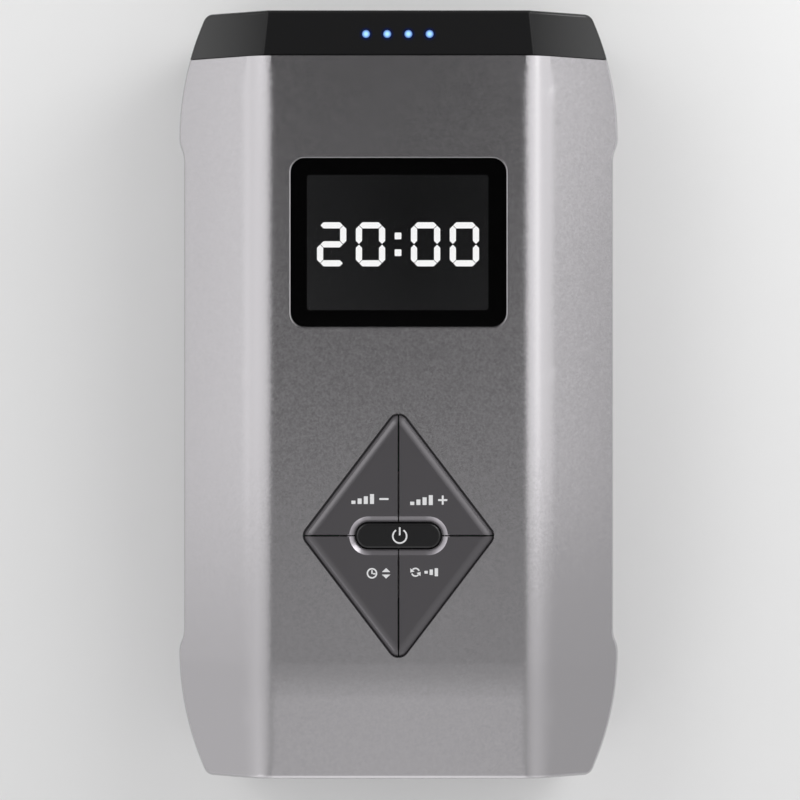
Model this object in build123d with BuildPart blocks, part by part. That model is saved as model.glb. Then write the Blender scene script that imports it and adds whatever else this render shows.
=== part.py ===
"""Portable compression therapy pump: faceted hand-held case, diamond keypad and air works.

Units are millimetres. The pump lies on its back: +Z is the front face, +Y the end with the
air sockets, +X the side with the charging socket. The origin is under the middle of the case,
in the plane of the rubber feet.
"""

from build123d import *
from math import atan, cos, degrees, radians, sqrt, tan
import os

# ------------------------------------------------------------------ driving dimensions
# Case
HALF_WIDTH = 63.1
HALF_LENGTH = 109.0
FACE_Z = 70.0
BACK_Z = 2.0
WALL = 2.6
END_CURVE_LENGTH = 35.2
END_CURVE_R = 80.0
CORNER_R = 3.0
WAIST_DEPTH = 1.4
WAIST_RAMP = 6.5
CREASE_X = 39.9
CREASE_R = 12.0
SLOPE = 36.0
RIM_R = 1.2
KICK_START = 76.0
KICK_R = 90.0
KICK_ANGLE = 6.0
REAR_EDGE_R = 18.0
REAR_EDGE_REACH = 17.1
REAR_END_R = 12.0
REAR_END_REACH = 11.4
PARTING_Z = 34.0
PARTING_GAP = 0.3
LIP_HEIGHT = 2.4
LIP_WALL = 1.2
LIP_CLEARANCE = 0.15

# End cap
CAP_LENGTH = 12.9
SEAM_GAP = 0.3
CAP_CREASE_SEAM = 38.4
CAP_CREASE_END = 36.6
CAP_CREASE_R = 1.2
CAP_RIM_R = 1.0
CAP_WALL = 3.4
SPIGOT_DEPTH = 4.0

# Display
LENS_WIDTH = 61.4
LENS_HEIGHT = 48.1
LENS_CORNER_R = 4.1
LENS_THICKNESS = 1.2
LENS_FROM_SEAM = 28.75
LENS_GAP = 0.12
LENS_EDGE = 0.3
WINDOW_WIDTH = 52.4
WINDOW_HEIGHT = 39.4
WINDOW_CORNER_R = 1.0
LCD_WIDTH = 57.0
LCD_HEIGHT = 45.0
LCD_THICKNESS = 3.2
LCD_GAP = 0.15
LCD_VIEW_WIDTH = 50.4
LCD_VIEW_HEIGHT = 37.6
LCD_FLOOR = 1.0
LCD_LEG_R = 1.5
LCD_LEG_INSET = 3.0

# Keypad
KEYPAD_Y = -39.8
KEYPAD_HALF_WIDTH = 26.9
KEYPAD_HALF_HEIGHT = 34.5
KEYPAD_CORNER_R = 3.0
KEY_GAP = 0.35
KEY_RISE = 0.9
KEY_CROWN_R = 5.2
KEY_CROWN_WIDTH = 2.8
KEY_EDGE = 0.2
KEY_BEVEL = 0.3
BEVEL_TAPER = 45.0
KEY_FLANGE = 1.2
KEY_FLANGE_THICKNESS = 0.9
KEY_CLEARANCE = 0.3
KEY_TRAVEL = 0.6
PILL_WIDTH = 24.0
PILL_HEIGHT = 7.1
PILL_EDGE_R = 0.6
PILL_DROP = 0.3
PILL_FLANGE = 1.0
PILL_FLANGE_THICKNESS = 1.0
MOAT_WIDTH = 1.6
MOAT_DEPTH = 1.1
STEM_R = 1.7
STEM_FIT = 0.08
STEM_X = 9.0
STEM_Y = 11.0
SWITCH_SIZE = 6.0
SWITCH_HEIGHT = 1.8
ACTUATOR_R = 1.5
ACTUATOR_HEIGHT = 0.4
SWITCH_GAP = 0.7

# Control board and the frame that guides the key stems
BOARD_TOP_Z = 60.0
BOARD_THICKNESS = 1.6
BOARD_WIDTH = 70.0
BOARD_INSET = 25.0
BOARD_SCREW_INSET_X = 3.0
BOARD_SCREW_INSET_Y = 6.0
BOARD_SCREW_R = 1.25
BOARD_SCREW_HEAD_R = 2.4
BOARD_SCREW_HEAD_HEIGHT = 1.4
BOARD_SCREW_LENGTH = 6.0
BOARD_BOSS_R = 2.8
SCREW_FIT = 0.05
KEY_FRAME_THICKNESS = 1.2
KEY_FRAME_WIDTH = 34.0
KEY_FRAME_HEIGHT = 36.0
KEY_FRAME_LEG_R = 1.5
KEY_FRAME_LEG_INSET = 2.5

# Charge lamps
LAMP_COUNT = 4
LAMP_SPACING = 6.0
LAMP_R = 1.1
LAMP_FIT = 0.05
LAMP_X = -0.2
LAMP_INSET = 6.8
LAMP_HEAD_R = 1.8
LAMP_PROUD = 0.05
LAMP_AIR = 0.2
LAMP_BOARD_Z = 62.0
LAMP_BOARD_THICKNESS = 1.2
LAMP_BOARD_LENGTH = 36.0
LAMP_BOARD_WIDTH = 6.0
LAMP_CHIP = 2.0
LAMP_CHIP_HEIGHT = 0.8
LAMP_POST_X = 15.0
LAMP_POST_R = 1.8

# Housing screws and feet
SCREW_TRAY_GAP = 1.6
SCREW_INSET_LOWER = 19.0
SCREW_MIDDLE_Y = 4.0
SCREW_INSET_UPPER = 12.1
SCREW_R = 1.5
SCREW_HEAD_R = 2.8
SCREW_HEAD_HEIGHT = 1.8
SCREW_RECESS = 4.0
SCREW_RECESS_R = 3.1
SCREW_LENGTH = 18.0
BOSS_R = 3.6
REAR_BOSS_R = 4.4
BOSS_MEET_Z = 12.0
FOOT_INSET_X = 29.1
FOOT_INSET_Y = 25.0
FOOT_R = 6.0
FOOT_SEAT = 1.0
FOOT_FIT = 0.1
FOOT_EDGE_R = 0.8

# Air intake
VENT_COUNT = 7
VENT_LENGTH = 18.0
VENT_WIDTH = 1.6
VENT_SPACING = 4.0
VENT_X = 14.0
VENT_Y = 40.0
FILTER_THICKNESS = 2.5
FILTER_MARGIN = 2.0

# Charging socket
PORT_OFFSET = 9.0
PORT_Z = 25.0
JACK_BORE_R = 3.2
JACK_PIN_R = 1.0
JACK_SIZE = 11.0
JACK_DEPTH = 14.0
JACK_BORE_DEPTH = 9.5
JACK_GAP = 0.15
BEZEL_LENGTH = 16.0
BEZEL_HEIGHT = 13.0
BEZEL_PROUD = 1.2
BEZEL_CORNER_R = 3.0
BEZEL_EDGE_R = 0.5
BEZEL_MOUTH_R = 4.2

# Air sockets
SOCKET_X = 19.0
SOCKET_Z = 36.0
SOCKET_WIDTH = 28.0
SOCKET_HEIGHT = 12.0
SOCKET_CORNER_R = 3.0
SOCKET_FLANGE = 2.0
SOCKET_FLANGE_THICKNESS = 1.5
SOCKET_GAP = 0.15
SOCKET_PORTS = 4
SOCKET_PORT_SPACING = 6.4
SOCKET_PORT_R = 2.2
SOCKET_DEPTH = 14.0

# Pump
PUMP_X = -20.0
PUMP_Z = 26.0
MOTOR_R = 19.0
MOTOR_LENGTH = 38.0
MOTOR_GAP = 2.1
MOTOR_WALL = 1.4
MAGNET_THICKNESS = 3.4
MAGNET_ANGLE = 130.0
ARMATURE_AIR = 0.6
ARMATURE_LENGTH = 20.0
ARMATURE_END_GAP = 2.0
ARMATURE_POLES = 5
ARMATURE_SLOT = 2.0
COMMUTATOR_R = 4.0
COMMUTATOR_LENGTH = 6.0
SHAFT_R = 1.6
SHAFT_FIT = 0.04
SHAFT_END = 1.0
BUSH_R = 4.0
BUSH_LENGTH = 4.0
CRANKCASE_WIDTH = 34.0
CRANKCASE_LENGTH = 26.0
CRANKCASE_WALL = 3.0
CRANKCASE_FLOOR_Z = 8.0
FOOT_PLATE_WIDTH = 42.0
FOOT_PLATE_THICKNESS = 2.5
DIAPHRAGM_Z = 43.0
DIAPHRAGM_THICKNESS = 1.6
DIAPHRAGM_BEAD = 0.8
ECCENTRICITY = 1.6
ECCENTRIC_R = 5.0
ECCENTRIC_LENGTH = 7.0
WEIGHT_R = 9.5
WEIGHT_THICKNESS = 3.0
WEIGHT_GAP = 1.0
ROD_WALL = 2.0
ROD_FIT = 0.05
ROD_NECK_R = 2.2
ROD_DISC_R = 6.0
ROD_DISC_THICKNESS = 1.5
ROD_HEAD_GAP = 0.4
VALVE_PLATE_THICKNESS = 3.0
COVER_HEIGHT = 6.0
COVER_WALL = 1.6
NIPPLE_R = 2.4
NIPPLE_BORE_R = 1.3
NIPPLE_LENGTH = 3.6
PUMP_SCREW_R = 1.0
PUMP_SCREW_HEAD_R = 1.8
PUMP_SCREW_LENGTH = 18.0
PUMP_SCREW_INSET = 1.6
GROMMET_R = 4.0

# Manifold and valves
OUTLET_RUN = 6.0
MANIFOLD_WIDTH = 78.0
MANIFOLD_LENGTH = 14.0
MANIFOLD_Z = 28.0
MANIFOLD_HEIGHT = 14.0
MANIFOLD_POST_X = 30.0
MANIFOLD_POST_R = 3.0
GALLERY_R = 2.0
VALVE_COUNT = 4
VALVE_SPACING = 17.0
VALVE_SIZE = 13.0
VALVE_HEIGHT = 14.0
VALVE_EDGE = 0.8
VALVE_SEAT_WALL = 2.0
PLUNGER_R = 2.6
PLUNGER_FIT = 0.06
PLUNGER_LENGTH = 9.0
PLUNGER_STROKE = 0.5
PLUNGER_GAP = 0.3
SENSOR_SIZE = 8.0
SENSOR_DEPTH = 6.0
HOSE_WALL = 1.0
HOSE_BEND_R = 4.0
HOSE_FIT = 0.05
HOSE_GAP = 0.3

# Battery
CELL_R = 9.2
CELL_LENGTH = 65.2
CELL_COUNT = 4
CELL_SPACING = 18.8
CELL_GAP = 0.2
TRAY_WALL = 1.4
TRAY_HEIGHT = 9.0
TERMINAL_R = 3.0
TERMINAL_HEIGHT = 0.8
TRAY_MARGIN = 0.3

# Power board
POWER_BOARD_WALL_GAP = 3.1
POWER_BOARD_WIDTH = 31.0
POWER_BOARD_END_GAP = 1.0
POWER_BOARD_LENGTH = 48.0
POWER_POST_R = 2.4
POWER_POST_INSET = 3.0
CAPACITOR_R = 4.0
CAPACITOR_HEIGHT = 12.0
CAPACITOR_OFFSET = 6.0
CHIP_SIZE = 8.0
CHIP_HEIGHT = 1.6
CHIP_OFFSET = 18.0

# Reach of a trimming form past the case, and of a cut past the surface that it opens
OVERSHOOT = 4.0
CUT_REACH = 1.0

# ------------------------------------------------------------------ levels that follow
INNER_Z = BACK_Z + WALL
CEILING_Z = FACE_Z - WALL
PART_HALF = PARTING_GAP / 2
END_CURVE_START = HALF_LENGTH - END_CURVE_LENGTH
SEAM_Y = HALF_LENGTH - CAP_LENGTH
CAP_START_Y = SEAM_Y + SEAM_GAP
LENS_Y = SEAM_Y - LENS_FROM_SEAM - LENS_HEIGHT / 2
LIP_END_Y = SEAM_Y - SPIGOT_DEPTH - SEAM_GAP
SHOULDER_Z = FACE_Z - (HALF_WIDTH - CREASE_X) * tan(radians(SLOPE))
KEY_BOTTOM_Z = CEILING_Z - KEY_CLEARANCE - KEY_FLANGE_THICKNESS
SWITCH_TOP_Z = BOARD_TOP_Z + SWITCH_HEIGHT + ACTUATOR_HEIGHT
STEM_END_Z = SWITCH_TOP_Z + SWITCH_GAP
PILL_FLANGE_Z = KEY_BOTTOM_Z - KEY_TRAVEL - KEY_CLEARANCE - PILL_FLANGE_THICKNESS
KEY_FRAME_TOP_Z = PILL_FLANGE_Z - KEY_TRAVEL - KEY_CLEARANCE
LCD_Z = CEILING_Z - LCD_GAP - LCD_THICKNESS
WAIST_X = HALF_WIDTH - WAIST_DEPTH
BOARD_LENGTH = 2 * (HALF_LENGTH - BOARD_INSET)
BOARD_SCREW_X = BOARD_WIDTH / 2 - BOARD_SCREW_INSET_X
BOARD_SCREW_Y = BOARD_LENGTH / 2 - BOARD_SCREW_INSET_Y
LAMP_Y = HALF_LENGTH - LAMP_INSET
CELL_SPAN = CELL_SPACING * (CELL_COUNT - 1) + 2 * CELL_R
TRAY_WIDTH = CELL_SPAN + 2 * (CELL_GAP + TRAY_WALL)
SCREW_X = TRAY_WIDTH / 2 + SCREW_TRAY_GAP + REAR_BOSS_R
SCREW_ROWS = (SCREW_INSET_LOWER - HALF_LENGTH, SCREW_MIDDLE_Y, SEAM_Y - SCREW_INSET_UPPER)
FOOT_X = HALF_WIDTH - FOOT_INSET_X
FOOT_Y = HALF_LENGTH - FOOT_INSET_Y
TRAY_START_Y = REAR_END_REACH - HALF_LENGTH + TRAY_MARGIN
TRAY_LENGTH = CELL_LENGTH + TERMINAL_HEIGHT + 2 * (CELL_GAP + TRAY_WALL)
CELL_START_Y = TRAY_START_Y + TRAY_WALL + CELL_GAP
CELL_Z = INNER_Z + TRAY_WALL + CELL_GAP + CELL_R
MOTOR_REAR_Y = TRAY_START_Y + TRAY_LENGTH + MOTOR_GAP
MOTOR_FRONT_Y = MOTOR_REAR_Y + MOTOR_LENGTH
CRANKCASE_MID_Y = MOTOR_FRONT_Y + CRANKCASE_LENGTH / 2
COVER_END_Y = MOTOR_FRONT_Y + CRANKCASE_LENGTH
ECCENTRIC_Y = CRANKCASE_MID_Y - WEIGHT_GAP / 2
ECCENTRIC_FRONT_Y = ECCENTRIC_Y + ECCENTRIC_LENGTH / 2
VALVE_PLATE_Z = DIAPHRAGM_Z + DIAPHRAGM_THICKNESS
COVER_Z = VALVE_PLATE_Z + VALVE_PLATE_THICKNESS
COVER_TOP_Z = COVER_Z + COVER_HEIGHT
NIPPLE_Z = COVER_Z + COVER_HEIGHT / 2
VALVE_Z = MANIFOLD_Z + MANIFOLD_HEIGHT
SOCKET_BACK_Y = HALF_LENGTH - SOCKET_DEPTH
MANIFOLD_FACE_Y = SOCKET_BACK_Y - OUTLET_RUN
MANIFOLD_START_Y = MANIFOLD_FACE_Y - MANIFOLD_LENGTH
MANIFOLD_Y = MANIFOLD_FACE_Y - MANIFOLD_LENGTH / 2
HOSE_TURN_Y = (COVER_END_Y + MANIFOLD_START_Y) / 2
POWER_BOARD_TOP_Z = PORT_Z - JACK_SIZE / 2
POWER_BOARD_X = WAIST_X - WALL - POWER_BOARD_WALL_GAP - POWER_BOARD_WIDTH / 2
POWER_BOARD_Y = MANIFOLD_START_Y - POWER_BOARD_END_GAP - POWER_BOARD_LENGTH / 2
PORT_Y = POWER_BOARD_Y + PORT_OFFSET


# ------------------------------------------------------------------ shared forms
def plan_outline(inset):
    """Outline seen from the front: waisted sides with S-curves into the drawn-in ends."""
    side_x = HALF_WIDTH - inset
    waist_x = side_x - WAIST_DEPTH
    waist_end = END_CURVE_START - WAIST_RAMP
    end_y = HALF_LENGTH - inset
    end_r = END_CURVE_R - inset
    end_x = side_x - end_r + sqrt(end_r**2 - (end_y - END_CURVE_START) ** 2)
    ramp_r = (WAIST_RAMP**2 + WAIST_DEPTH**2) / (4 * WAIST_DEPTH)
    middle = (waist_x + WAIST_DEPTH / 2, waist_end + WAIST_RAMP / 2)
    with BuildSketch() as outline:
        with BuildLine():
            Line((waist_x, 0), (waist_x, waist_end))
            RadiusArc((waist_x, waist_end), middle, ramp_r)
            RadiusArc(middle, (side_x, END_CURVE_START), -ramp_r)
            RadiusArc((side_x, END_CURVE_START), (end_x, end_y), -end_r)
            mirror(about=Plane.XZ)
            mirror(about=Plane.YZ)
            Line((-end_x, end_y), (end_x, end_y))
            Line((-end_x, -end_y), (end_x, -end_y))
        make_face()
        rows = outline.vertices().group_by(Axis.Y)
        fillet(rows[0] + rows[-1], CORNER_R)
    return outline.sketch


def front_section(crease, fall, crease_r, drop=0.0):
    """Flat front with a sloping facet each side, run on below and beside the case."""
    reach = HALF_WIDTH + OVERSHOOT
    side = -drop - (reach - crease) * fall
    with BuildSketch() as section:
        with BuildLine():
            Polyline((0, -drop), (crease, -drop), (reach, side), (reach, -FACE_Z), (0, -FACE_Z))
            mirror(about=Plane.YZ)
        make_face()
        top = section.vertices().group_by(Axis.Y)[-1].sort_by(Axis.X)
        fillet([top[0], top[-1]], crease_r)
    return section.sketch


def front_form(inset):
    """The front surface, straight along the face and round the gentle kick at the lower end."""
    start_y = HALF_LENGTH + OVERSHOOT
    kick_length = HALF_LENGTH - KICK_START + OVERSHOOT
    crease = CREASE_X - inset * tan(radians(SLOPE / 2))
    with BuildPart() as form:
        with BuildLine(Plane.YZ) as spine:
            face_line = Line((start_y, FACE_Z), (-KICK_START, FACE_Z))
            bend = JernArc(face_line @ 1, face_line % 1, KICK_R, KICK_ANGLE)
            Line(bend @ 1, bend @ 1 + kick_length * (bend % 1))
        with BuildSketch(Plane((0, start_y, FACE_Z), x_dir=(1, 0, 0), z_dir=(0, -1, 0))):
            add(front_section(crease, tan(radians(SLOPE)), CREASE_R - inset, inset))
        sweep(path=spine.wires()[0])
    return form.part


def rear_profile(half_reach, edge_r, edge_reach, inset):
    """Flat back with a round edge each side that runs out through the wall."""
    back = BACK_Z + inset
    flat = half_reach - edge_reach
    radius = edge_r - inset
    out = half_reach - inset + (edge_r - edge_reach) / 2
    rise = radius - sqrt(radius**2 - (out - flat) ** 2)
    wide = half_reach + OVERSHOOT
    high = FACE_Z + OVERSHOOT
    with BuildSketch() as profile:
        with BuildLine():
            Line((0, back), (flat, back))
            RadiusArc((flat, back), (out, back + rise), -radius)
            Polyline((out, back + rise), (wide, back + rise), (wide, high), (0, high))
            mirror(about=Plane.YZ)
        make_face()
    return profile.sketch


def rear_form(inset):
    """Rear edges rounded along both sides and across both ends."""
    with BuildPart() as form:
        with BuildSketch(Plane.XZ):
            add(rear_profile(HALF_WIDTH, REAR_EDGE_R, REAR_EDGE_REACH, inset))
        extrude(amount=HALF_LENGTH + OVERSHOOT, both=True)
        with BuildSketch(Plane.YZ):
            add(rear_profile(HALF_LENGTH, REAR_END_R, REAR_END_REACH, inset))
        extrude(amount=HALF_WIDTH + OVERSHOOT, both=True, mode=Mode.INTERSECT)
    return form.part


def case_form(inset):
    """The whole case as one solid, drawn in by a wall thickness."""
    with BuildPart() as form:
        with BuildSketch(Plane.XY.offset(BACK_Z + inset)):
            add(plan_outline(inset))
        extrude(amount=FACE_Z - BACK_Z)
        add(front_form(inset), mode=Mode.INTERSECT)
        add(rear_form(inset), mode=Mode.INTERSECT)
    return form.part


def rim_edges(form):
    """Edges where the upright walls meet the front face and its facets."""
    walls = form.faces().filter_by(lambda face: abs(face.normal_at().Z) < 0.01)
    return ShapeList({edge for wall in walls for edge in wall.edges() if edge.center().Z > PARTING_Z})


def ring_form(outer_inset, thickness):
    """A closed band that follows the inside of the case wall."""
    with BuildPart() as ring:
        add(case_form(outer_inset))
        add(case_form(outer_inset + thickness), mode=Mode.SUBTRACT)
    return ring.part


def edges_near(part, z, centre, half_width, half_height):
    """Edges that lie at one level within a rectangle about a centre."""
    def inside(edge):
        box = edge.bounding_box()
        flat = abs(box.min.Z - z) < 0.01 and abs(box.max.Z - z) < 0.01
        across = max(abs(box.min.X - centre[0]), abs(box.max.X - centre[0])) < half_width
        along = max(abs(box.min.Y - centre[1]), abs(box.max.Y - centre[1])) < half_height
        return flat and across and along

    return part.edges().filter_by(inside)


def diamond(grow):
    """Keypad outline, grown or drawn in by a distance measured square to its sides."""
    side = sqrt(KEYPAD_HALF_WIDTH**2 + KEYPAD_HALF_HEIGHT**2)
    tip_x = side / KEYPAD_HALF_HEIGHT
    tip_y = side / KEYPAD_HALF_WIDTH
    corner_r = KEYPAD_CORNER_R + grow
    half_width = KEYPAD_HALF_WIDTH + KEYPAD_CORNER_R * (tip_x - 1) + grow * tip_x
    half_height = KEYPAD_HALF_HEIGHT + KEYPAD_CORNER_R * (tip_y - 1) + grow * tip_y
    with BuildSketch() as outline:
        with BuildLine():
            Polyline((half_width, 0), (0, half_height), (-half_width, 0), (0, -half_height), close=True)
        make_face()
        fillet(outline.vertices(), corner_r)
    return outline.sketch


def keypad_plane(z):
    """Plane of the keypad's centre at a level."""
    return Plane((0, KEYPAD_Y, z))


def port_plane(x):
    """Plane square to the side wall at the charging socket; its X runs along the case."""
    return Plane((x, PORT_Y, PORT_Z), x_dir=(0, 1, 0), z_dir=(1, 0, 0))


def end_plane(y):
    """Plane square to the case's length at the air sockets; its normal is +Y."""
    return Plane((0, y, SOCKET_Z), x_dir=(-1, 0, 0), z_dir=(0, 1, 0))


def posts(spots, radius, bottom, top):
    """Round posts at several spots between two levels."""
    with BuildPart() as group:
        with BuildSketch(Plane.XY.offset(bottom)):
            with Locations(*spots):
                Circle(radius)
        extrude(amount=top - bottom)
    return group.part


CASE_SCREWS = [(x, y) for x in (-SCREW_X, SCREW_X) for y in SCREW_ROWS]
BOARD_SCREWS = [
    (x, y)
    for x in (-BOARD_SCREW_X, BOARD_SCREW_X)
    for y in (-BOARD_SCREW_Y, 0, BOARD_SCREW_Y)
]
POWER_POSTS = [
    (POWER_BOARD_X + x * (POWER_BOARD_WIDTH / 2 - POWER_POST_INSET),
     POWER_BOARD_Y + y * (POWER_BOARD_LENGTH / 2 - POWER_POST_INSET))
    for x in (-1, 1)
    for y in (-1, 1)
]
MANIFOLD_POSTS = [(-MANIFOLD_POST_X, MANIFOLD_Y), (MANIFOLD_POST_X, MANIFOLD_Y)]
FEET = [(x, y) for x in (-FOOT_X, FOOT_X) for y in (-FOOT_Y, FOOT_Y)]
LAMPS = [(LAMP_X + LAMP_SPACING * (i - (LAMP_COUNT - 1) / 2), LAMP_Y) for i in range(LAMP_COUNT)]
STEMS = [(STEM_X * x, STEM_Y * y) for x in (-1, 1) for y in (-1, 1)]
VALVES = [VALVE_SPACING * (i - (VALVE_COUNT - 1) / 2) for i in range(VALVE_COUNT)]
PORTS = [
    side * SOCKET_X + SOCKET_PORT_SPACING * (i - (SOCKET_PORTS - 1) / 2)
    for side in (-1, 1)
    for i in range(SOCKET_PORTS)
]
SCREW_HEAD_TOP_Z = BACK_Z + SCREW_RECESS

finished = []


def finish(builder, name):
    """Label a finished piece and keep it for export."""
    builder.part.label = name
    finished.append(builder.part)


# ------------------------------------------------------------------ case
outer = case_form(0)
with BuildPart() as rounded_case:
    add(outer)
    fillet(rim_edges(rounded_case), RIM_R)

with BuildPart() as front_housing:
    add(rounded_case.part)
    add(case_form(WALL), mode=Mode.SUBTRACT)
    split(bisect_by=Plane.XY.offset(PARTING_Z + PART_HALF), keep=Keep.TOP)
    split(bisect_by=Plane.XZ.offset(-SEAM_Y), keep=Keep.TOP)
    # Posts for the housing screws and for the control board, run up into the roof
    with BuildPart(mode=Mode.PRIVATE) as roof_posts:
        add(posts(CASE_SCREWS, BOSS_R, BOSS_MEET_Z, FACE_Z))
        add(posts(BOARD_SCREWS, BOARD_BOSS_R, BOARD_TOP_Z, FACE_Z))
        add(case_form(WALL / 2), mode=Mode.INTERSECT)
    add(roof_posts.part)
    case_hole_top_z = BOSS_MEET_Z + SCREW_LENGTH
    board_hole_top_z = CEILING_Z - WALL / 2
    add(posts(CASE_SCREWS, SCREW_R + SCREW_FIT, BOSS_MEET_Z, case_hole_top_z), mode=Mode.SUBTRACT)
    add(posts(BOARD_SCREWS, BOARD_SCREW_R + SCREW_FIT, BOARD_TOP_Z, board_hole_top_z), mode=Mode.SUBTRACT)
    # Seat and window of the display lens
    with BuildSketch(Plane((0, LENS_Y, FACE_Z))):
        RectangleRounded(LENS_WIDTH + 2 * LENS_GAP, LENS_HEIGHT + 2 * LENS_GAP, LENS_CORNER_R + LENS_GAP)
    extrude(amount=-LENS_THICKNESS, mode=Mode.SUBTRACT)
    with BuildSketch(Plane((0, LENS_Y, FACE_Z))):
        RectangleRounded(WINDOW_WIDTH, WINDOW_HEIGHT, WINDOW_CORNER_R)
    extrude(amount=-2 * WALL, mode=Mode.SUBTRACT)
    # Diamond opening of the keypad
    with BuildSketch(keypad_plane(FACE_Z)):
        add(diamond(0))
    extrude(amount=-2 * WALL, mode=Mode.SUBTRACT)
    lens_reach = (LENS_WIDTH / 2 + CUT_REACH, LENS_HEIGHT / 2 + CUT_REACH)
    keypad_reach = (KEYPAD_HALF_WIDTH + CUT_REACH, KEYPAD_HALF_HEIGHT + CUT_REACH)
    chamfer(edges_near(front_housing, FACE_Z, (0, LENS_Y), *lens_reach), LENS_EDGE)
    chamfer(edges_near(front_housing, FACE_Z, (0, KEYPAD_Y), *keypad_reach), KEY_EDGE)
finish(front_housing, "front_housing")

with BuildPart() as rear_housing:
    add(outer)
    add(case_form(WALL), mode=Mode.SUBTRACT)
    split(bisect_by=Plane.XY.offset(PARTING_Z - PART_HALF), keep=Keep.BOTTOM)
    # Lip that aligns the two housings
    with BuildPart(mode=Mode.PRIVATE) as lip:
        add(ring_form(WALL + LIP_CLEARANCE, LIP_WALL))
        split(bisect_by=Plane.XY.offset(PARTING_Z + LIP_HEIGHT), keep=Keep.BOTTOM)
        split(bisect_by=Plane.XY.offset(PARTING_Z - LIP_HEIGHT), keep=Keep.TOP)
    with BuildPart(mode=Mode.PRIVATE) as lip_root:
        add(ring_form(WALL / 2, WALL / 2 + LIP_CLEARANCE + LIP_WALL))
        split(bisect_by=Plane.XY.offset(PARTING_Z - PART_HALF), keep=Keep.BOTTOM)
        split(bisect_by=Plane.XY.offset(PARTING_Z - LIP_HEIGHT), keep=Keep.TOP)
    with BuildPart(mode=Mode.PRIVATE) as whole_lip:
        add(lip.part)
        add(lip_root.part)
        split(bisect_by=Plane.XZ.offset(-LIP_END_Y), keep=Keep.TOP)
    add(whole_lip.part)
    split(bisect_by=Plane.XZ.offset(-SEAM_Y), keep=Keep.TOP)
    # Posts for the housing screws, the power board and the manifold, rooted in the floor
    with BuildPart(mode=Mode.PRIVATE) as floor_posts:
        add(posts(CASE_SCREWS, REAR_BOSS_R, BACK_Z, BOSS_MEET_Z))
        add(posts(POWER_POSTS, POWER_POST_R, BACK_Z, POWER_BOARD_TOP_Z - BOARD_THICKNESS))
        add(posts(MANIFOLD_POSTS, MANIFOLD_POST_R, BACK_Z, MANIFOLD_Z))
        add(case_form(WALL / 2), mode=Mode.INTERSECT)
    add(floor_posts.part)
    # Screw holes and recesses, foot seats, intake slots
    add(posts(CASE_SCREWS, SCREW_R + SCREW_FIT, 0, BOSS_MEET_Z), mode=Mode.SUBTRACT)
    add(posts(CASE_SCREWS, SCREW_RECESS_R, 0, SCREW_HEAD_TOP_Z), mode=Mode.SUBTRACT)
    add(posts(FEET, FOOT_R + FOOT_FIT, 0, BACK_Z + FOOT_SEAT), mode=Mode.SUBTRACT)
    with BuildSketch(Plane((VENT_X, VENT_Y, 0))):
        with GridLocations(1, VENT_SPACING, 1, VENT_COUNT):
            SlotOverall(VENT_LENGTH, VENT_WIDTH)
    extrude(amount=INNER_Z + CUT_REACH, mode=Mode.SUBTRACT)
    # Opening for the charging socket in the waisted side
    with BuildSketch(port_plane(WAIST_X - 2 * WALL)):
        Rectangle(JACK_SIZE + 2 * JACK_GAP, JACK_SIZE + 2 * JACK_GAP)
    extrude(amount=3 * WALL, mode=Mode.SUBTRACT)
finish(rear_housing, "rear_housing")

with BuildPart() as end_cap:
    for station, crease in ((CAP_START_Y, CAP_CREASE_SEAM), (HALF_LENGTH + OVERSHOOT, CAP_CREASE_END)):
        with BuildSketch(Plane((0, station, FACE_Z), x_dir=(1, 0, 0), z_dir=(0, -1, 0))):
            add(front_section(crease, (FACE_Z - SHOULDER_Z) / (HALF_WIDTH - crease), CAP_CREASE_R))
    loft(ruled=True)
    with BuildSketch(Plane.XY.offset(BACK_Z)):
        add(plan_outline(0))
    extrude(amount=FACE_Z - BACK_Z, mode=Mode.INTERSECT)
    add(rear_form(0), mode=Mode.INTERSECT)
    end_edges = end_cap.faces().sort_by(Axis.Y)[-1].edges()
    fillet(end_edges.filter_by(lambda edge: edge.center().Z > PARTING_Z), CAP_RIM_R)
    add(case_form(CAP_WALL), mode=Mode.SUBTRACT)
    # Spigot that enters the two housings
    with BuildPart(mode=Mode.PRIVATE) as spigot:
        add(ring_form(WALL + LIP_CLEARANCE, LIP_WALL))
        split(bisect_by=Plane.XZ.offset(-(CAP_START_Y + SPIGOT_DEPTH)), keep=Keep.TOP)
        split(bisect_by=Plane.XZ.offset(-(SEAM_Y - SPIGOT_DEPTH)), keep=Keep.BOTTOM)
    add(spigot.part)
    # Posts of the lamp board, lamp holes and the air-socket openings
    add(posts([(-LAMP_POST_X, LAMP_Y), (LAMP_POST_X, LAMP_Y)], LAMP_POST_R,
              LAMP_BOARD_Z + LAMP_BOARD_THICKNESS, FACE_Z - CAP_WALL / 2))
    add(posts(LAMPS, LAMP_R + LAMP_FIT, FACE_Z - 2 * CAP_WALL, FACE_Z + CUT_REACH), mode=Mode.SUBTRACT)
    socket_opening = (SOCKET_WIDTH + 2 * SOCKET_GAP, SOCKET_HEIGHT + 2 * SOCKET_GAP)
    with BuildSketch(end_plane(HALF_LENGTH)):
        with GridLocations(2 * SOCKET_X, 1, 2, 1):
            RectangleRounded(*socket_opening, SOCKET_CORNER_R)
    extrude(amount=-2 * CAP_WALL, mode=Mode.SUBTRACT)
finish(end_cap, "end_cap")

# ------------------------------------------------------------------ display
with BuildPart() as display_lens:
    with BuildSketch(Plane((0, LENS_Y, FACE_Z - LENS_THICKNESS))):
        RectangleRounded(LENS_WIDTH, LENS_HEIGHT, LENS_CORNER_R)
    extrude(amount=LENS_THICKNESS)
    chamfer(display_lens.edges().group_by(Axis.Z)[-1], LENS_GAP)
finish(display_lens, "display_lens")

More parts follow.
